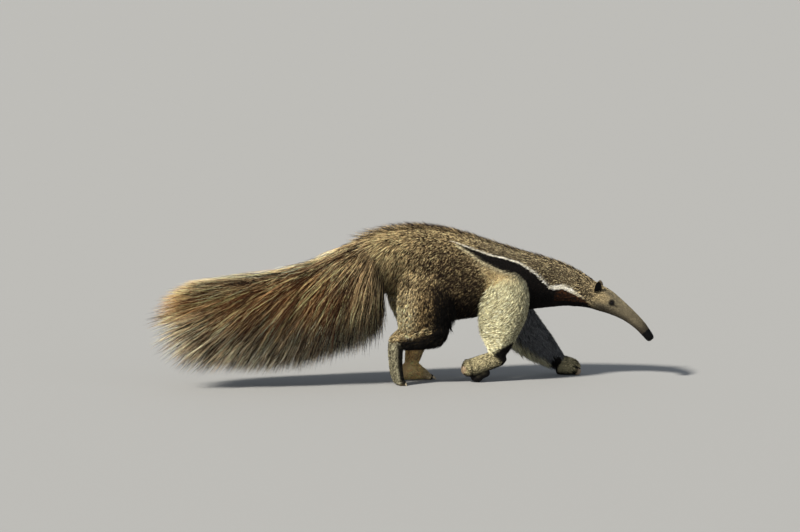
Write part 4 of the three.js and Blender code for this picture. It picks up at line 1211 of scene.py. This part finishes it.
def tailCoat(name, angles, spacing, width, style):
    roots = rootsOn("body", plume["places"], angles, spacing, 0.02)
    out = roots["out"]
    turn = np.degrees(np.arcsin(np.clip(np.sin(np.radians(roots["angle"])), -1, 1)))
    share = (roots["point"][:, 0] - moveBy[0] - plume["frontAt"]) / (plume["rearAt"] - plume["frontAt"])
    fall, length = (between(np.interp(turn, plume["angles"], plume[key + "Front"]),
                            np.interp(turn, plume["angles"], plume[key + "Rear"]), np.clip(share, 0, 1))
                    for key in ("fall", "length"))
    way = backwards(between(fall, np.interp(turn, *plume["fallEnd"]), 1 - ramp(roots["place"], 0.4, 1.1)))
    lying = onto(way, out, 0.0)
    hug = np.interp(turn, [50, 90], [0, 0.6])  # the top's hairs keep to the surface
    roots["end"] = unit(mix(way, lying, hug) + out * 0.02)
    growHair(name, style, roots, lying, 0.2, 0.0, length, width)


tailCoat("plumeRightTop", (90, 160), 2.6, 1.8, plumeHair)
tailCoat("plumeRightLow", (160, 270), 3.05, 1.9, fringeHair)
tailCoat("plumeLeftTop", (20, 90), 3.8, 2.1, plumeHair)
tailCoat("plumeLeftLow", (-90, 20), 4.1, 2.2, fringeHair)

# legs and feet: the hair runs down the limb or along the fall given for its places, is longest at its rear
# edge, and takes up the trunk's flow and markings where it blends in
armHair = dict(flankHair, clump=3, gather=0.3, wander=0.17, uneven=0.24, middle=0.9, tips=1.0, tone=0.32, locked=0.3,
               slot="pale_coat")
pawHair = dict(armHair, sink=0.001, tone=0.35)
footHair = dict(pawHair, slot="foot_coat")


def limbCoat(name, part, style, places, spacing, width, lengths, rear=0.0, blend=None, falls=None, fringe=0.0):
    roots = rootsOn(part, places, allRound, spacing, 0.008)
    place, angle = roots["place"], roots["angle"]
    along = alongAt(lines[part], place, angle)
    behind = ramp(-frontOf(angle), 0.35, 0.9)
    before = fringe * ramp(frontOf(angle), 0.3, 0.9) * zone(place, 1.6, 2.6, 4.0, 4.9)
    if falls:
        way = unit(backwards(np.interp(place, *falls)) + along * 0.35)
    else:
        way = unit(along + np.stack([0.3 * before - 0.25 * behind - 0.22, 0 * place, 0 * place - 0.25], 1))
    if blend:
        share = 1 - ramp(place, *blend)
        trunkPlace, trunkAngle, _ = placesOf(bodyLine, roots["point"])
        deep, tip, light = bodyMarkings(trunkPlace, trunkAngle)
        roots["deep"], roots["tip"] = mix(roots["deep"], deep, share), mix(roots["tip"], tip, share)
        roots["light"] = between(roots["light"], light, share)
        way = unit(mix(way, flowOf(trunkPlace, trunkAngle), share))
    growHair(name, style, roots, onto(way, roots["out"]),
             (0.26 + 0.12 * behind + 0.5 * before)[:, None], (0.08 + 0.4 * before)[:, None],
             np.interp(place, *lengths) * (1 + rear * behind + 1.3 * before), width)


limbCoat("armCoatRight", "armRight", armHair, (0.3, 5.95), 3.1, 1.9, ([0, 1, 3, 5, 6], [30, 26, 20, 16, 12]),
         rear=0.5, blend=(0.5, 1.5), falls=([0, 1, 2, 3, 4, 5, 6], [62, 46, 22, 4, -12, -30, -40]))
limbCoat("armCoatLeft", "armLeft", armHair, (0.3, 5.95), 3.8, 2.3, ([0, 1, 3, 5, 6], [30, 32, 28, 20, 12]),
         rear=1.2, blend=(0.3, 1.2))
limbCoat("thighCoatRight", "thighRight", flankHair, (0.3, 4.9), 2.8, 2.4, ([0, 1, 3, 5], [24, 17, 16, 16]),
         rear=0.5, blend=(0.9, 2.6), fringe=1.0)
limbCoat("thighCoatLeft", "thighLeft", flankHair, (0.3, 5.95), 4.2, 2.8, ([0, 1, 3, 4, 6], [26, 22, 20, 18, 12]),
         rear=0.4, blend=(0.9, 2.6), fringe=0.8)
limbCoat("shankCoatRight", "shankRight", flankHair, (0.1, 4.8), 3, 2.4, ([0, 1, 3, 5], [26, 24, 16, 10]), rear=0.5)
limbCoat("pawCoatRight", "pawRight", pawHair, (0.2, 4.9), 2.3, 1.8, ([0, 2, 5], [14, 12, 9]))
limbCoat("pawCoatLeft", "pawLeft", pawHair, (0.2, 4.9), 2.6, 1.8, ([0, 2, 5], [13, 11, 8]))
limbCoat("footCoatRight", "footRight", footHair, (0.2, 4.6), 2.4, 1.8, ([0, 2, 5], [14, 12, 8]))
limbCoat("footCoatLeft", "footLeft", footHair, (0.2, 4.9), 2.6, 1.8, ([0, 2, 5], [14, 12, 8]))

# the head's hair is very short and lies flat, and leaves the lids bare; round the eyes it is shorter and darker, partly
# painted socket shade
headHair = dict(armHair, gather=0.1, wander=0.14, uneven=0.22, sink=0.0006, thick=0.45, middle=0.95, tips=0.95,
                tone=0.42, foot=0.5, locked=0.2, slot="face_coat")
headCoat = {
    "places": (13.3, 19.05), "spacing": ([13.3, 14, 15, 17, 19], [2.9, 2.4, 1.9, 1.6, 1.4]),
    "length": ([13.3, 13.8, 14.5, 15.5, 17, 19], [14, 12, 10, 8, 6, 4]),
    "width": ([13.3, 14, 15, 17, 19], [2.0, 1.8, 1.5, 1.2, 0.95]),
    "bareBefore": 0.0115, "bareBehind": 0.0092, "darkFrom": 0.011, "darkTo": 0.019,
}
roots = rootsOn("body", headCoat["places"], allRound, headCoat["spacing"], 0.004)
ahead = sectionsOn(bodyLine, roots["place"])["ahead"]
bare, lids = np.zeros(len(ahead), bool), np.zeros(len(ahead))
for seat, _ in seats.values():
    r = roots["point"] - seat
    reach = np.linalg.norm(r, axis=1)
    bare |= reach <= np.where((r * ahead).sum(1) > 0, headCoat["bareBefore"], headCoat["bareBehind"])
    lids = np.maximum(lids, 1 - ramp(reach, headCoat["darkFrom"], headCoat["darkTo"]))
# painted socket shade, over the dark hair round the eyes
roots["deep"] = mix(roots["deep"], paints["black"], lids)
roots["tip"] = mix(roots["tip"], paints["soot"], 0.9 * lids)
roots, ahead, lids = {key: value[~bare] for key, value in roots.items()}, ahead[~bare], lids[~bare]
growHair("headCoat", headHair, roots, onto(-ahead - upward * 0.12, roots["out"]), 0.26, 0.1,
         tableAt(headCoat["length"], roots["place"]) * (1 - 0.5 * lids), tableAt(headCoat["width"], roots["place"]))

# the ears' short hair stands out at the rim, where it is palest
earHair = dict(headHair, wander=0.2, tone=0.3, slot="ear_coat")
earCoat = {"count": 1500, "lowest": -0.018, "length": 5, "rimLonger": 2, "width": 1.1}
for side, (seat, facing, across, tall, size) in earFrames.items():
    turn = rng.uniform(0, 2 * np.pi, earCoat["count"])
    edge = np.sqrt(rng.uniform(0.02, 1, earCoat["count"]))
    kept = np.sin(turn) * edge * size[2] / 0.8 > earCoat["lowest"]
    turn, edge = turn[kept], edge[kept]
    back, sideways, high = -np.sqrt(1 - edge**2), np.cos(turn) * edge, np.sin(turn) * edge
    local = np.stack([back, sideways, high], 1) * size
    local[:, 0] -= earShape["leanBack"] * local[:, 2] ** 2 / size[2]
    shell = np.array([facing, across, tall])
    out = unit(np.stack([back / size[0] * 0.01, sideways, high], 1)) @ shell
    rim = ramp(edge, 0.86, 0.99)
    pale = rim * ramp(-np.cos(turn) * (1 if side == "Right" else -1), -0.5, 0.4)
    roots = {"point": seat + local @ shell, "out": out, "patch": 0.5 + 0.48 * local[:, 1:] / size[1:],
             "deep": everywhere(out, paints["umber"]), "light": 0.35 + 0.5 * pale,
             "tip": mix(everywhere(out, paints["face"]), paints["straw"], pale)}
    growHair("earHair" + side, earHair, roots, onto(unit(tall + sideways[:, None] * across * 0.7), out),
             (0.3 + 0.3 * rim)[:, None], 0.15, earCoat["length"] + earCoat["rimLonger"] * rim, earCoat["width"])


# floor, light and camera
room = {
    "floor": (141, 142, 144), "floorSize": 3000, "sky": (0.86, 0.93, 1.0), "skyStrength": 0.38,
    "keyLamp": {"strength": 7.4, "softness": 7, "colour": (1.0, 0.94, 0.82), "from": (-0.60, -0.50, 0.64)},
    "fillLamp": {"strength": 0.25, "softness": 40, "colour": (0.88, 0.93, 1.0), "from": (0.7, -0.7, 0.4)},
}
view = {"heading": 14, "down": 5.2185, "from": (-3.153, -11.611, 1.56), "lens": 135, "sensor": 36, "farthest": 5000}
bpy.ops.object.select_all(action="DESELECT")
bpy.ops.mesh.primitive_plane_add(size=room["floorSize"], location=(0, 0, 0))
floor = bpy.context.object
floor.name = "floor"
floor.data.materials.append(plainFinish("paleFloor", paint(*room["floor"]), 0.85))

world = bpy.data.worlds.new("studio")
bpy.context.scene.world = world
world.use_nodes = True
world.node_tree.nodes["Background"].inputs["Color"].default_value = (*room["sky"], 1)
world.node_tree.nodes["Background"].inputs["Strength"].default_value = room["skyStrength"]

heading, down = math.radians(view["heading"]), math.radians(view["down"])
viewAhead = np.array([math.sin(heading), math.cos(heading), 0])
viewRight = np.array([math.cos(heading), -math.sin(heading), 0])
for name in ("keyLamp", "fillLamp"):
    toRight, ahead, up = room[name]["from"]
    bpy.ops.object.light_add(type="SUN", location=(0, 0, 3))
    lamp = bpy.context.object
    lamp.name = name
    towards = viewRight * toRight + viewAhead * ahead + upward * up
    lamp.rotation_euler = (-Vector(towards)).to_track_quat("-Z", "Y").to_euler()
    lamp.data.angle = math.radians(room[name]["softness"])
    lamp.data.energy = room[name]["strength"]
    lamp.data.color = room[name]["colour"]

bpy.ops.object.camera_add()
camera = bpy.context.object
camera.name = "roadCamera"
camera.data.sensor_width = view["sensor"]
camera.data.lens = view["lens"]
camera.data.clip_end = view["farthest"]
camera.location = Vector(np.array(view["from"]) + moveBy)
camera.rotation_euler = Vector(viewAhead * math.cos(down) - upward * math.sin(down)).to_track_quat("-Z", "Y").to_euler()
bpy.context.scene.camera = camera
bpy.context.scene.view_settings.view_transform = "Standard"
print("floor, light and camera set")
